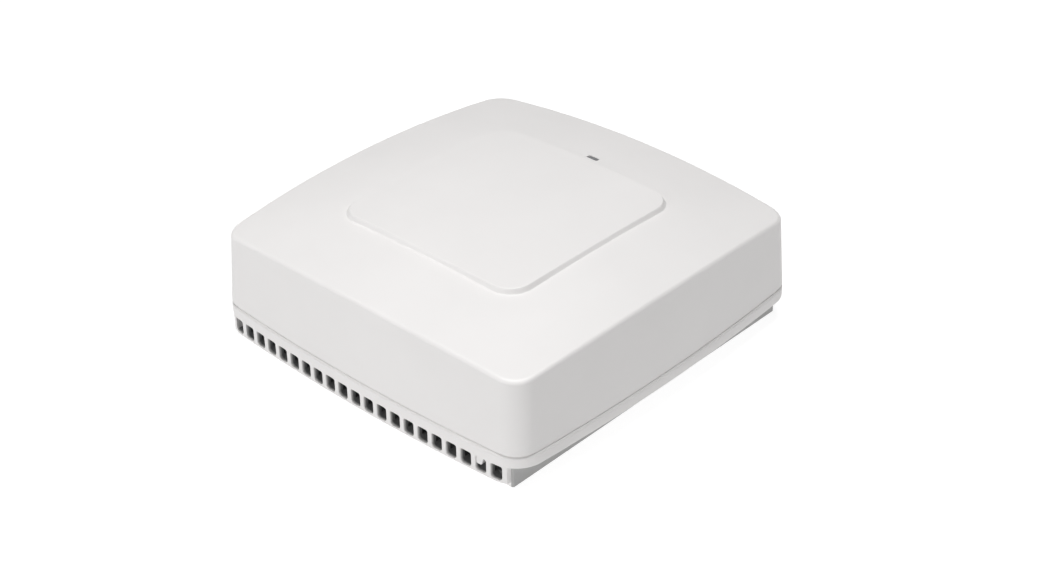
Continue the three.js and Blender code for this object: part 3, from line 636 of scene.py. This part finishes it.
def lower_tray():
    """The set-back lower body with its foot and the skirt before it, hollow above the floor."""
    tray = plate("base_shell", lower_outline, -FOOT, RIM_BOTTOM + 1, LOWER_EDGE)
    join(tray, plate("skirt", skirt_outline, 0, RIM_BOTTOM + 1, LOWER_EDGE))
    under = mouth_cutter("under", lambda inset: lower_outline(FOOT_WIDTH + inset), -FOOT, 0, 0.3)
    inside = plate("inside", lambda inset: lower_outline(BASE_WALL), FLOOR, RIM_TOP)
    skirt_inside = plate("skirt_inside", lambda inset: skirt_outline(BASE_WALL), FLOOR, RIM_TOP)
    return cut(tray, under, inside, skirt_inside)


def rim():
    """The band that shows below the cover, and the upstand that the cover fits over."""
    inner = UPSTAND_HALF - UPSTAND_WALL
    rings = [raised(rim_foot_outline(inset), RIM_BOTTOM + rise) for inset, rise in quarter_arc(RIM_FOOT)]
    for inset, rise in reversed(quarter_arc(RIM_EDGE, 6)):
        if inset < RIM_HALF - TONGUE_HALF:
            outline = bowed_square(RIM_HALF - inset, SIDE_BOW, RIM_RADIUS - inset)
            rings.append(raised(outline, RIM_TOP - rise))
    for half, z in ((TONGUE_HALF, RIM_TOP), (TONGUE_HALF, TONGUE_TOP), (UPSTAND_HALF, TONGUE_TOP),
                    (UPSTAND_HALF, UPSTAND_TOP)):
        rings.append(raised(bowed_square(half, SIDE_BOW, RIM_RADIUS - RIM_HALF + half), z))
    hollow = [raised(bowed_square(half, SIDE_BOW, RIM_INNER_RADIUS), z) for half, z in (
        (RIM_INNER, RIM_BOTTOM - 1), (RIM_INNER, RIM_TOP), (inner, RIM_TOP + 0.1),
        (inner, UPSTAND_TOP + 1))]
    return cut(loft("rim", rings), loft("rim_inside", hollow))


def slot_outline(x, grow=0.0):
    """The slot's outline in X and Z, with rounder corners below than above."""
    half = SLOT_WIDTH / 2 + grow
    low_radius = SLOT_LOW_RADIUS + grow
    high_radius = SLOT_HIGH_RADIUS + grow
    low = SLOT_BOTTOM - grow + low_radius
    high = SLOT_TOP + grow - high_radius
    steps = 5
    points = []
    for side, height, radius, start in ((1, low, low_radius, -90), (1, high, high_radius, 0),
                                        (-1, high, high_radius, 90), (-1, low, low_radius, 180)):
        middle = x + side * (half - radius)
        for i in range(steps + 1):
            angle = math.radians(start + 90 * i / steps)
            points.append((middle + radius * math.cos(angle), height + radius * math.sin(angle)))
    return points


def slot_cutters():
    cutters = []
    for index in range(SLOT_COUNT):
        x = slot_x(index)
        rings = []
        for share, depth in ((1, -1.5), (1, -0.02), (0.5, 0.08), (0.12, 0.2), (0, 0.34)):
            rings.append([(px, front_y(px) + depth, pz) for px, pz in slot_outline(x, share * SLOT_FLARE)])
        rings.append([(px, SLOT_BACK, pz) for px, pz in slot_outline(x)])
        cutters.append(loft("slot", rings))
    return several(cutters)


def keyhole_outline(x, y, radius, inset=0.0):
    """Two half circles and straight sides, from the head's centre to the end of the neck's run."""
    r = radius - inset
    steps = 12
    points = []
    for start, centre in ((math.pi, y), (0, y + KEYHOLE_RUN)):
        for i in range(steps + 1):
            angle = start + math.pi * i / steps
            points.append((x + r * math.cos(angle), centre + r * math.sin(angle)))
    return points


def keyhole_columns(radius, z0, z1):
    """A keyhole-long column at each keyhole."""
    return several([loft("cup", [raised(keyhole_outline(x, y, radius), z) for z in (z0, z1)])
                    for x, y in KEYHOLES])


def base_added():
    """What stands on the floor inside: the plate's pad, the recess walls, bosses, posts and cups."""
    wall = RECESS_WALL
    pad = block("pad", -54, 54, -54, 20, FLOOR_CORE, PAD_TOP, 2)
    recess = block("recess_box", -RECESS_X - wall, RECESS_X + wall, RECESS_LOW - wall, RECESS_HIGH + wall,
                   FLOOR_CORE, RECESS_ROOF + wall, 2.5)
    channel = block("channel_box", -CHANNEL_X - wall, CHANNEL_X + wall, RECESS_HIGH, LOWER_BACK - 0.5,
                    FLOOR_CORE, CHANNEL_ROOF + wall, 0.3)
    bosses = columns("boss", HOUSING_SCREWS, BASE_BOSS, FLOOR_CORE, RIM_TOP)
    posts = columns("post", BOARD_SCREWS, BOARD_POST, FLOOR_CORE, 17)
    cups = keyhole_columns(KEYHOLE_CUP + KEYHOLE_CUP_WALL, FLOOR_CORE, KEYHOLE_CUP_ROOF + KEYHOLE_CUP_WALL)
    return pad, recess, channel, bosses, posts, cups


def base_removed():
    """The recess and channel, the plate's and label's seats, socket windows, wells and bores."""
    recess = box_cutter("recess", -RECESS_X, RECESS_X, RECESS_LOW, RECESS_HIGH, 0, RECESS_ROOF, 2.0, 0.5)
    channel = box_cutter("channel", -CHANNEL_X, CHANNEL_X, RECESS_HIGH - 3, LOWER_BACK + 6, -FOOT,
                         CHANNEL_ROOF, 0.6, 0.4)
    seat = block("plate_seat", *PLATE_SEAT, -FOOT, 1.3, 4.3)
    label = block("label_seat", *LABEL_SEAT, -FOOT, 0.35, 2.0)
    windows = several([block("socket_window", *window, 0.5) for window in SOCKET_WINDOWS])
    reset = turned("reset_hole", [(0, 0), (RESET_BORE, 0), (RESET_BORE, 6), (0, 6)])
    place(reset, *RESET_PLACE, turn_x=90)
    wells = several([round_cutter("well", x, y, SCREW_WELL, 0, 5) for x, y in HOUSING_SCREWS])
    bores = columns("bore", HOUSING_SCREWS, SCREW_BORE, 4, 12)
    pilots = columns("pilot", BOARD_SCREWS, BOARD_PILOT, 8, 19)
    cups = keyhole_columns(KEYHOLE_CUP, 0, KEYHOLE_CUP_ROOF)
    x = slot_x(LATCH_SLOT)
    passage = block("passage", x - 2.2, x + 2.2, -66.6, -63, 2.5, 20, 0.2)
    return recess, channel, seat, label, windows, reset, wells, bores, pilots, cups, passage


def build_base():
    base = join(lower_tray(), rim(), *base_added())
    cut(base, *base_removed(), slot_cutters())
    place(base, z=FOOT)
    finish_piece(base, "housing", "base_plastic", ["base_housing"])


def along_y(made):
    """Turns a piece drawn in X, Z and -Y into place, so that what was low faces +Y."""
    return place(made, turn_x=90)


def tunnel(name, x0, x1, y0, y1, z0, z1, radius=0.5, edge=0.0):
    """A box whose edges along Y are round and, with edge, whose +-Y faces are rounded off."""
    return along_y(block(name, x0, x1, z0, z1, -y1, -y0, radius, edge))


def mouth(name, x0, x1, y0, y1, z0, z1, radius=0.3, flare=0.25):
    """A cutter into a +Y face at y1, with a rounded mouth."""
    return along_y(box_cutter(name, x0, x1, z0, z1, -y1, -y0, radius, flare))


def strip(name, path, width, thickness, across):
    """A bent strip of sheet along a path of points, with its width along the vector across."""
    rings = []
    for i, point in enumerate(path):
        before = Vector(path[max(i - 1, 0)])
        after = Vector(path[min(i + 1, len(path) - 1)])
        side = (after - before).normalized().cross(Vector(across)) * thickness / 2
        half = Vector(across) * width / 2
        rings.append([tuple(Vector(point) + a * side + b * half) for a, b in CORNERS])
    return loft(name, rings)


def cad_box(node):
    """x0, x1, y0, y1, z0, z1 of a CAD node, in millimetres."""
    low_corner, high_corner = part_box(node)
    return [corner[axis] / MM for axis in range(3) for corner in (low_corner, high_corner)]


# -------- back plate and label

def build_back_plate():
    x0, x1, y0, y1, z0, z1 = cad_box("back_plate")
    sheet = plate("back_plate_sheet", lambda inset: rounded_rectangle(
        x0 + inset, x1 - inset, y0 + inset, y1 - inset, 4 - inset), z0, z1, 0.25, 0.15)
    heads = [round_cutter("head", x, y, KEYHOLE_HEAD, z0, z1 + 1) for x, y in KEYHOLES]
    necks = [mouth_cutter("neck", lambda inset, x=x, y=y: keyhole_outline(x, y, KEYHOLE_NECK, inset),
                          z0, z1 + 1, 0.25) for x, y in KEYHOLES]
    sinks = [place(turned("sink", [(0, -0.5), (3.1, -0.5), (1.5, 1.15), (1.5, 2), (0, 2)]), x, y, z0)
             for x, y in PLATE_SCREWS]
    grooves = [block("groove", x - 1.5, x + 1.5, -39, 5, z0 - 1, z0 + 0.4, 1.45, 0.25) for x in (-12, 12)]
    cut(sheet, several(heads), several(necks), several(sinks), several(grooves))
    finish_piece(sheet, "housing", "plate_steel", ["back_plate"])


def build_label():
    x0, x1, y0, y1, z0, z1 = cad_box("blank_label")
    film = plate("label_sheet", lambda inset: rounded_rectangle(
        x0 + inset, x1 - inset, y0 + inset, y1 - inset, 1.6 - inset), z0, z1, 0.05)
    finish_piece(film, "housing", "label_film", ["blank_label"])


# -------- screws

def thread_rings(core, crest, pitch, z0, z1, sides=16):
    """Rings up a shank whose surface rises from core to crest once each pitch, along a helix."""
    steps = round((z1 - z0) / pitch * 8)
    rings = []
    for level in range(steps + 1):
        z = mix(z0, z1, level / steps)
        ring = []
        for i in range(sides):
            phase = (z / pitch - i / sides) % 1
            radius = mix(crest, core, abs(2 * phase - 1) ** 0.7)
            angle = 2 * math.pi * i / sides
            ring.append((radius * math.cos(angle), radius * math.sin(angle), z))
        rings.append(ring)
    return rings


def cross_recess(top, depth, reach):
    """A cutter for a cross slot that narrows downwards."""
    arms = []
    for long_x in (True, False):
        rings = []
        for z, share in ((top - depth, 0.5), (top + 0.3, 1.1)):
            half_x, half_y = (reach, 0.28 * reach) if long_x else (0.28 * reach, reach)
            rings.append(raised(rounded_rectangle(-half_x * share, half_x * share, -half_y * share,
                                                  half_y * share, 0.06, 2), z))
        arms.append(loft("arm", rings))
    return join(*arms)


def build_screw(node, x, y, seat, head, shank, length, faces_down):
    """A screw with a rolled thread. head is (radius, height) pairs above the seat."""
    sides = 16
    core = shank * 0.78
    top = head[-1][1]
    rings = [raised(circle(0, 0, core * 0.45, sides), -length)]
    rings += thread_rings(core, shank, 0.8, -length + 0.9, -0.5, sides)
    for radius, height in [(shank, -0.25), (shank, 0), *head]:
        rings.append(raised(circle(0, 0, radius, sides), height))
    screw = loft("threaded_" + node, rings)
    cut(screw, cross_recess(top, min(1.2, top * 0.75), head[1][0] * 0.52))
    place(screw, x, y, seat, turn_x=180 if faces_down else 0)
    finish_piece(screw, "housing", "screw_steel", [node], 40)


def build_screws():
    """Every screw: its kind, places, seat height above the skirt's edge, head, shank, length and side."""
    countersunk = [(1.6, 0.25), (2.3, 1.0), (2.3, 1.06), (2.2, 1.1)]
    cheese = [(2.6, 0), (2.8, 0.15), (2.8, 1.5), (2.7, 1.75), (2.45, 1.92), (2.1, 2.0)]
    domed = [(2.2, 0), (2.3, 0.1), (2.3, 0.9), (2.15, 1.25), (1.85, 1.52), (1.35, 1.66), (1.1, 1.7)]
    for kind, places, seat, head, shank, length, faces_down in (
            ("plate", PLATE_SCREWS, 1.15, countersunk, 1.2, 1.75, True),
            ("housing", HOUSING_SCREWS, 4.9, cheese, 1.45, 17.3, True),
            ("board", BOARD_SCREWS, 19.9, domed, 1.15, 9.5, False),
            ("heatsink", HEATSINK_SCREWS, 18.8, domed, 1.15, 7.0, False)):
        for i, (x, y) in enumerate(places, 1):
            build_screw(f"{kind}_screw_{i}", x, y, FOOT + seat, head, shank, length, faces_down)


# -------- sockets

def build_ethernet_shield():
    """The socket's folded shield, with a spring inside each cheek that presses on the plug."""
    x0, x1, y0, y1, z0, z1 = cad_box("ethernet_jack_shell")
    middle = (x0 + x1) / 2
    shell = tunnel("ethernet_socket_shield", x0, x1, y0, y1, z0, z1, 0.6, 0.12)
    cut(shell, tunnel("hollow", x0 + SHIELD, x1 - SHIELD, y0 + SHIELD, y1 + 1, z0 + SHIELD, z1 - SHIELD,
                      0.4))
    finish_piece(shell, "housing", "shield_tin", ["ethernet_jack_shell"])
    steps = 12
    for name, side in (("left", -1), ("right", 1)):
        path = []
        for i in range(steps + 1):
            share = i / steps
            inward = 0.75 * math.sin(math.pi * share) ** 2 - 0.05
            path.append((middle + side * (PLUG_HALF - inward), y1 - 0.3 - 5.5 * share, z0 + 7.4))
        spring = strip("ethernet_spring_" + name, path, 2.6, 0.2, (0, 0, 1))
        finish_piece(spring, "housing", "shield_tin")


def build_ethernet_insert():
    """The black insert with the plug's mouth, and the eight sprung contacts on their carrier."""
    x0, x1, y0, y1, z0, z1 = cad_box("ethernet_jack_body")
    middle = (x0 + x1) / 2
    foot = z0 - SHIELD - 0.1
    body = tunnel("ethernet_socket_insert", x0, x1, y0, y1, z0, z1, 0.4, 0.15)
    for half, low, high in ((PLUG_HALF, 3.1, 10.2), (3.2, 1.8, 3.3), (1.6, 1.2, 2.0)):
        cut(body, mouth("step", middle - half, middle + half, y1 - 14, y1, foot + low, foot + high,
                        0.2, 0.3))
    finish_piece(body, "housing", "socket_plastic", ["ethernet_jack_body"])

    wires = []
    for k in range(CONTACTS):
        x = middle + (k - (CONTACTS - 1) / 2) * CONTACT_PITCH
        path = [(x, y1 - depth, foot + height) for depth, height in (
            (1.4, 10.15), (2.6, 10.1), (3.4, 9.85), (4.4, 9.4), (9.6, 7.5), (10.4, 7.3), (11.6, 7.2))]
        wires.append(strip("wire", path, 0.42, 0.28, (1, 0, 0)))
    carrier = block("carrier", middle - 4.2, middle + 4.2, y1 - 13.1, y1 - 11.9, foot + 8.4, foot + 9.8,
                    0.2, 0.1)
    contacts = several([carrier, *wires])
    contacts.name = "ethernet_contact_springs"
    finish_piece(contacts, "housing", "contact_brass", ["ethernet_contacts"])


def build_power_socket():
    x0, x1, y0, y1, z0, z1 = cad_box("power_jack_body")
    px0, px1, py0, py1, pz0, pz1 = cad_box("power_jack_pin")
    x = (px0 + px1) / 2
    z = (pz0 + pz1) / 2
    body = tunnel("power_socket_housing", x0, x1, y0, y1, z0, z1, 0.6, 0.3)
    bore = mouth_cutter("bore", lambda inset: circle(x, z, POWER_BORE - inset, 40), -y1, -py0 + 0.2, 0.35)
    cut(body, along_y(bore))
    finish_piece(body, "housing", "socket_plastic", ["power_jack_body"])
    profile = [(0, py0), (1, py0), (1, py1 - 0.7), (0.92, py1 - 0.35), (0.7, py1 - 0.1), (0.4, py1),
               (0, py1)]
    pin = place(turned("power_socket_pin", profile, 28), x, 0, z, turn_x=-90)
    finish_piece(pin, "housing", "contact_brass", ["power_jack_pin"])
    steps = 10
    path = []
    for i in range(steps + 1):
        share = i / steps
        height = 0.6 * math.sin(math.pi * share) ** 2 - POWER_BORE
        path.append((x, y1 - 1.2 - 7.5 * share, z + height))
    spring = strip("power_socket_spring", path, 1.8, 0.2, (1, 0, 0))
    finish_piece(spring, "housing", "contact_brass")


# -------- reset button and status light

def build_reset_button():
    x0, x1, y0, y1, z0, z1 = cad_box("reset_button")
    x = (x0 + x1) / 2
    z = (z0 + z1) / 2
    flange = (x1 - x0) / 2
    stem = 1.9
    cap_profile = [(0, y0), (stem - 0.2, y0), (stem, y0 + 0.2), (stem, y0 + 0.4), (flange - 0.15, y0 + 0.4),
                   (flange, y0 + 0.55), (flange, y0 + 1.55), (flange - 0.15, y0 + 1.7), (stem, y0 + 1.7),
                   (stem, y1 - 0.5), (stem - 0.08, y1 - 0.25), (stem - 0.28, y1 - 0.08),
                   (stem - 0.6, y1 - 0.02), (1.0, y1 - 0.1), (0.6, y1 - 0.18), (0, y1 - 0.2)]
    cap = place(turned("reset_cap", cap_profile, 36), x, 0, z, turn_x=-90)
    finish_piece(cap, "reset_button", "button_plastic", ["reset_button"])
    x0, x1, y0, y1, z0, z1 = cad_box("reset_plunger")
    radius = (x1 - x0) / 2
    plunger_profile = [(0, y0), (radius - 0.2, y0), (radius, y0 + 0.2), (radius, y1 - 0.15),
                       (radius - 0.15, y1), (0, y1)]
    plunger = place(turned("reset_pusher", plunger_profile, 28), x, 0, z, turn_x=-90)
    finish_piece(plunger, "reset_button", "button_plastic", ["reset_plunger"])


def build_light_pipe():
    x0, x1, y0, y1, z0, z1 = cad_box("led_light_pipe")
    half_width = WINDOW_WIDTH / 2
    half_depth = WINDOW_DEPTH / 2

    def outline_at(inset):
        return rounded_rectangle(-half_width + inset, half_width - inset, WINDOW_Y - half_depth + inset,
                                 WINDOW_Y + half_depth - inset, WINDOW_RADIUS - inset)
    rings = [raised(outline_at(inset), z0 + rise) for inset, rise in quarter_arc(0.15)]
    rings += [raised(outline_at(inset), lambda x, y: FOOT + dome_height(x, y) - LENS_SUNK - rise)
              for inset, rise in reversed(quarter_arc(0.15))]
    pipe = loft("status_lens", rings)
    join(pipe, block("collar", x0, x1, y0, y1, z1 - 5.5, z1 - 4.2, 0.5, 0.15))
    finish_piece(pipe, "housing", "light_pipe", ["led_light_pipe"])


# -------- materials

def node_material(name):
    material = bpy.data.materials.new(name)
    material.use_nodes = True
    tree = material.node_tree
    return material, tree, tree.nodes["Principled BSDF"]


def object_scale(tree, scale):
    """The object's own coordinates, times scale, where the object is in metres."""
    coordinates = tree.nodes.new("ShaderNodeTexCoord")
    mapping = tree.nodes.new("ShaderNodeMapping")
    mapping.inputs["Scale"].default_value = scale if hasattr(scale, "__len__") else (scale,) * 3
    tree.links.new(coordinates.outputs["Object"], mapping.inputs["Vector"])
    return mapping.outputs["Vector"]


def noise(tree, vector, scale, detail=2.0):
    texture = tree.nodes.new("ShaderNodeTexNoise")
    texture.inputs["Scale"].default_value = scale
    texture.inputs["Detail"].default_value = detail
    tree.links.new(vector, texture.inputs["Vector"])
    return texture.outputs["Fac"]


def spread(tree, value, low, high):
    """The value's middle range stretched to run from low to high."""
    reach = tree.nodes.new("ShaderNodeMapRange")
    reach.inputs["From Min"].default_value = 0.3
    reach.inputs["From Max"].default_value = 0.7
    reach.inputs["To Min"].default_value = low
    reach.inputs["To Max"].default_value = high
    tree.links.new(value, reach.inputs["Value"])
    return reach.outputs["Result"]


def blended(tree, share, first, second):
    blend = tree.nodes.new("ShaderNodeMix")
    blend.data_type = "RGBA"
    for socket, value in ((blend.inputs["A"], first), (blend.inputs["B"], second)):
        if isinstance(value, tuple):
            socket.default_value = (*value, 1)
        else:
            tree.links.new(value, socket)
    tree.links.new(share, blend.inputs["Factor"])
    return blend.outputs["Result"]


def bump(tree, shader, heights):
    """Chains bumps of (height socket, depth in metres)."""
    previous = None
    for height, depth in heights:
        node = tree.nodes.new("ShaderNodeBump")
        node.inputs["Strength"].default_value = 1.0
        node.inputs["Distance"].default_value = depth
        tree.links.new(height, node.inputs["Height"])
        if previous:
            tree.links.new(previous, node.inputs["Normal"])
        previous = node.outputs["Normal"]
    tree.links.new(previous, shader.inputs["Normal"])


def shaded(color, factor):
    return tuple(min(1.0, value * factor) for value in color)


def moulded_plastic(name, color, roughness, grain=0.3, depth=0.006):
    """Injection-moulded plastic: a fine spark texture, faint clouding and uneven gloss. Grain in mm."""
    material, tree, shader = node_material(name)
    vector = object_scale(tree, IN_MM)
    cloud = noise(tree, vector, 0.035, 3)
    tree.links.new(blended(tree, spread(tree, cloud, 0, 1), shaded(color, 0.985), shaded(color, 1.01)),
                   shader.inputs["Base Color"])
    gloss = noise(tree, vector, 0.5 / grain, 3)
    tree.links.new(spread(tree, gloss, roughness - 0.04, roughness + 0.05), shader.inputs["Roughness"])
    bump(tree, shader, [(noise(tree, vector, 1 / grain, 4), depth * MM),
                        (noise(tree, vector, 0.045, 1), 0.05 * MM)])
    return material


def calculated(tree, operation, *values):
    """A math node on values, each a socket or a number."""
    node = tree.nodes.new("ShaderNodeMath")
    node.operation = operation
    for socket, value in zip(node.inputs, values):
        if isinstance(value, (int, float)):
            socket.default_value = value
        else:
            tree.links.new(value, socket)
    return node.outputs[0]


def between(tree, value, low, high):
    """1 between low and high, which are in the same unit as value, and 0 beyond them."""
    above = calculated(tree, "GREATER_THAN", value, low)
    return calculated(tree, "MULTIPLY", above, calculated(tree, "LESS_THAN", value, high))


def base_plastic(name, color, roughness):
    """White plastic, with painted shade behind the vent slots (a dark grey on the slots' side walls and in
    the cavity) and a grey lower body that is partly a greyer plastic and partly painted shade under the
    rim.
    """
    material = moulded_plastic(name, color, roughness)
    tree = material.node_tree
    shader = next(node for node in tree.nodes if node.type == "BSDF_PRINCIPLED")
    plain = shader.inputs["Base Color"].links[0].from_socket
    split = tree.nodes.new("ShaderNodeSeparateXYZ")
    tree.links.new(object_scale(tree, IN_MM), split.inputs[0])
    x, y, z = split.outputs

    # painted shade behind the vent slots: darker with depth behind the bowed face, inside the slots' span
    # and height
    bow = calculated(tree, "MULTIPLY", calculated(tree, "MULTIPLY", x, x), -SIDE_BOW / BOW_REACH ** 2)
    depth = calculated(tree, "ADD", calculated(tree, "ADD", y, RIM_HALF), bow)
    slot_shade = calculated(tree, "MULTIPLY", calculated(tree, "SUBTRACT", depth, SLOT_SHADE_START), SLOT_SHADE_SLOPE)
    slot_shade = calculated(tree, "MINIMUM", calculated(tree, "MAXIMUM", slot_shade, 0.0), 1.0)
    for value, low, high in ((x, -60.7, 60.7), (y, -72.0, -60.5), (z, FOOT + 0.85, FOOT + 10.0)):
        slot_shade = calculated(tree, "MULTIPLY", slot_shade, between(tree, value, low, high))

    # the lower body below the rim, apart from the skirt, turns grey: partly its own greyer plastic, partly
    # painted shade under the rim's overhang
    skirt = calculated(tree, "MULTIPLY", between(tree, x, -SKIRT_HALF - 0.02, SKIRT_HALF + 0.02),
                       calculated(tree, "LESS_THAN", y, LOWER_FRONT + 1))
    lower = calculated(tree, "MULTIPLY", calculated(tree, "SUBTRACT", 1.0, skirt),
                       calculated(tree, "LESS_THAN", z, FOOT + RIM_BOTTOM - 0.05))
    greyed_and_shaded = blended(tree, lower, plain, LOWER_GREY_AND_SHADE)
    tree.links.new(blended(tree, slot_shade, greyed_and_shaded, SLOT_SHADE_GREY), shader.inputs["Base Color"])
    return material


def sheet_metal(name, color, roughness, grain=(0.6, 9.0, 9.0), depth=0.002, cloud=0.12):
    """Rolled or plated sheet: streaks along one direction and a soft mottling of the plating."""
    material, tree, shader = node_material(name)
    vector = object_scale(tree, tuple(IN_MM * value for value in grain))
    streaks = noise(tree, vector, 0.8, 4)
    mottle = noise(tree, object_scale(tree, IN_MM), 0.35, 4)
    plating = blended(tree, spread(tree, mottle, 0, 1), shaded(color, 1 - cloud),
                      shaded(color, 1 + cloud / 2))
    tree.links.new(plating, shader.inputs["Base Color"])
    shader.inputs["Metallic"].default_value = 1.0
    tree.links.new(spread(tree, streaks, roughness - 0.07, roughness + 0.08), shader.inputs["Roughness"])
    bump(tree, shader, [(streaks, depth * MM), (mottle, 0.004 * MM)])
    return material


def circuit_board(name):
    """Green solder mask with copper tracks showing through and rows of tinned pads."""
    material, tree, shader = node_material(name)
    vector = object_scale(tree, IN_MM)
    tracks = tree.nodes.new("ShaderNodeTexBrick")
    tracks.inputs["Scale"].default_value = 0.35
    tracks.inputs["Mortar Size"].default_value = 0.09
    tracks.inputs["Color1"].default_value = (0.012, 0.12, 0.055, 1)
    tracks.inputs["Color2"].default_value = (0.016, 0.15, 0.07, 1)
    tracks.inputs["Mortar"].default_value = (0.04, 0.26, 0.12, 1)
    tree.links.new(vector, tracks.inputs["Vector"])
    tree.links.new(tracks.outputs["Color"], shader.inputs["Base Color"])
    tree.links.new(spread(tree, noise(tree, vector, 0.8, 3), 0.28, 0.4), shader.inputs["Roughness"])
    bump(tree, shader, [(tracks.outputs["Fac"], 0.02 * MM)])
    return material


def smoked_lens(name):
    """The light pipe's clear grey plastic, unlit, with a cloudy core."""
    material, tree, shader = node_material(name)
    vector = object_scale(tree, IN_MM)
    cloud = noise(tree, vector, 0.6, 2)
    tree.links.new(blended(tree, spread(tree, cloud, 0, 1), (0.20, 0.20, 0.205), (0.34, 0.34, 0.35)),
                   shader.inputs["Base Color"])
    tree.links.new(spread(tree, noise(tree, vector, 3.0, 2), 0.12, 0.2), shader.inputs["Roughness"])
    shader.inputs["Coat Weight"].default_value = 0.4
    bump(tree, shader, [(noise(tree, vector, 1.2, 2), 0.01 * MM)])
    return material


def label_film(name):
    """A blank film label: a matte face with a faint paper-like tooth."""
    material, tree, shader = node_material(name)
    vector = object_scale(tree, IN_MM)
    tree.links.new(blended(tree, spread(tree, noise(tree, vector, 0.12, 3), 0, 1), (0.70, 0.70, 0.69),
                           (0.75, 0.75, 0.745)), shader.inputs["Base Color"])
    tree.links.new(spread(tree, noise(tree, vector, 4.0, 2), 0.5, 0.62), shader.inputs["Roughness"])
    bump(tree, shader, [(noise(tree, vector, 5.0, 3), 0.004 * MM)])
    return material


MAKERS = {
    "cover_plastic": (moulded_plastic, WHITE, 0.42),
    "base_plastic": (base_plastic, WHITE, 0.46),
    "plate_steel": (sheet_metal, (0.62, 0.63, 0.65), 0.34),
    "screw_steel": (sheet_metal, (0.60, 0.61, 0.63), 0.28, (4.0, 4.0, 4.0)),
    "circuit_board": (circuit_board,),
    "shield_tin": (sheet_metal, (0.70, 0.71, 0.70), 0.3),
    "chip_epoxy": (moulded_plastic, (0.02, 0.02, 0.022), 0.6, 0.15),
    "socket_plastic": (moulded_plastic, (0.014, 0.014, 0.016), 0.42, 0.2),
    "button_plastic": (moulded_plastic, (0.03, 0.03, 0.034), 0.36, 0.2),
    "contact_brass": (sheet_metal, (0.80, 0.58, 0.22), 0.2, (6.0, 1.0, 6.0)),
    "antenna_brass": (sheet_metal, (0.70, 0.52, 0.24), 0.3),
    "lead_sheath": (moulded_plastic, (0.018, 0.018, 0.018), 0.5, 0.15),
    "heatsink_aluminium": (sheet_metal, (0.74, 0.75, 0.76), 0.5, (2.0, 2.0, 2.0)),
    "tray_aluminium": (sheet_metal, (0.72, 0.73, 0.74), 0.36),
    "thermal_pad": (moulded_plastic, (0.22, 0.30, 0.36), 0.85, 0.25, 0.02),
    "light_pipe": (smoked_lens,),
    "capacitor_sleeve": (moulded_plastic, (0.03, 0.045, 0.11), 0.3, 0.5, 0.002),
    "label_film": (label_film,),
}
MATERIALS = {slot: maker(slot, *values) for slot, (maker, *values) in MAKERS.items()}


def paint_cad_nodes():
    """Every CAD node takes the material of its slot in the record."""
    for entry in frame["record"]["subparts"]:
        node = frame["nodes"][entry["node"]]
        node.data.materials.clear()
        node.data.materials.append(MATERIALS[entry["material_slot"]])


# -------- stage, light and camera

def build_floor():
    size = 6.0
    mesh = bpy.data.meshes.new("floor")
    mesh.from_pydata([(size * x, size * y, 0) for x, y in CORNERS], [], [(0, 1, 2, 3)])
    floor = bpy.data.objects.new("floor", mesh)
    bpy.context.scene.collection.objects.link(floor)
    floor.location.z = cad_low.z - 0.00002
    material, _, shader = node_material("sweep")
    shader.inputs["Base Color"].default_value = (0.25, 0.25, 0.25, 1)
    shader.inputs["Roughness"].default_value = 0.9
    shader.inputs["Emission Color"].default_value = (1, 1, 1, 1)
    shader.inputs["Emission Strength"].default_value = 0.88
    mesh.materials.append(material)


def area_light(name, place_at, aim, size, watts, tint=(1, 1, 1)):
    data = bpy.data.lights.new(name, "AREA")
    data.shape = "DISK"
    data.size = size
    data.energy = watts
    data.color = tint
    light = bpy.data.objects.new(name, data)
    bpy.context.scene.collection.objects.link(light)
    light.location = place_at
    light.rotation_mode = "QUATERNION"
    light.rotation_quaternion = (Vector(aim) - Vector(place_at)).to_track_quat("-Z", "Y")


def build_lights():
    world = bpy.data.worlds.new("studio")
    world.use_nodes = True
    background = world.node_tree.nodes["Background"]
    background.inputs["Color"].default_value = (1, 1, 1, 1)
    background.inputs["Strength"].default_value = 0.02
    bpy.context.scene.world = world
    area_light("overhead", (0.0, 0.0, 1.0), (0, 0, 0.03), 0.6, 9.0)
    area_light("front", (0.0, -0.95, 0.35), (0, 0, 0.03), 0.5, 2.75)
    area_light("side", (0.42, -0.25, 0.85), (0, 0, 0.03), 0.6, 0.8)


def build_camera():
    """Looks down on the corner between the vented side and the +X side."""
    height = math.radians(32.61975)
    turn = math.radians(43.25014)
    roll = math.radians(-0.805834)
    distance = 0.663465
    back = Vector((math.sin(turn) * math.cos(height), -math.cos(turn) * math.cos(height), math.sin(height)))
    right = Vector((math.cos(turn), math.sin(turn), 0))
    up = back.cross(right)
    right_rolled = right * math.cos(roll) + up * math.sin(roll)
    up_rolled = up * math.cos(roll) - right * math.sin(roll)
    target = right_rolled * 0.0052007 + up_rolled * 0.0098073 + Vector((0, 0, 0.0025))
    data = bpy.data.cameras.new("camera")
    data.sensor_width = 36
    data.lens = 67.361
    camera = bpy.data.objects.new("camera", data)
    bpy.context.scene.collection.objects.link(camera)
    turned_to = Matrix((right_rolled, up_rolled, back)).transposed().to_4x4()
    camera.matrix_world = Matrix.Translation(target + back * distance) @ turned_to
    bpy.context.scene.camera = camera
    bpy.context.scene.view_settings.view_transform = "Standard"


# -------- the model

build_camera()
build_lights()
build_floor()
paint_cad_nodes()
build_cover()
build_base()
build_back_plate()
build_label()
build_screws()
build_ethernet_shield()
build_ethernet_insert()
build_power_socket()
build_reset_button()
build_light_pipe()
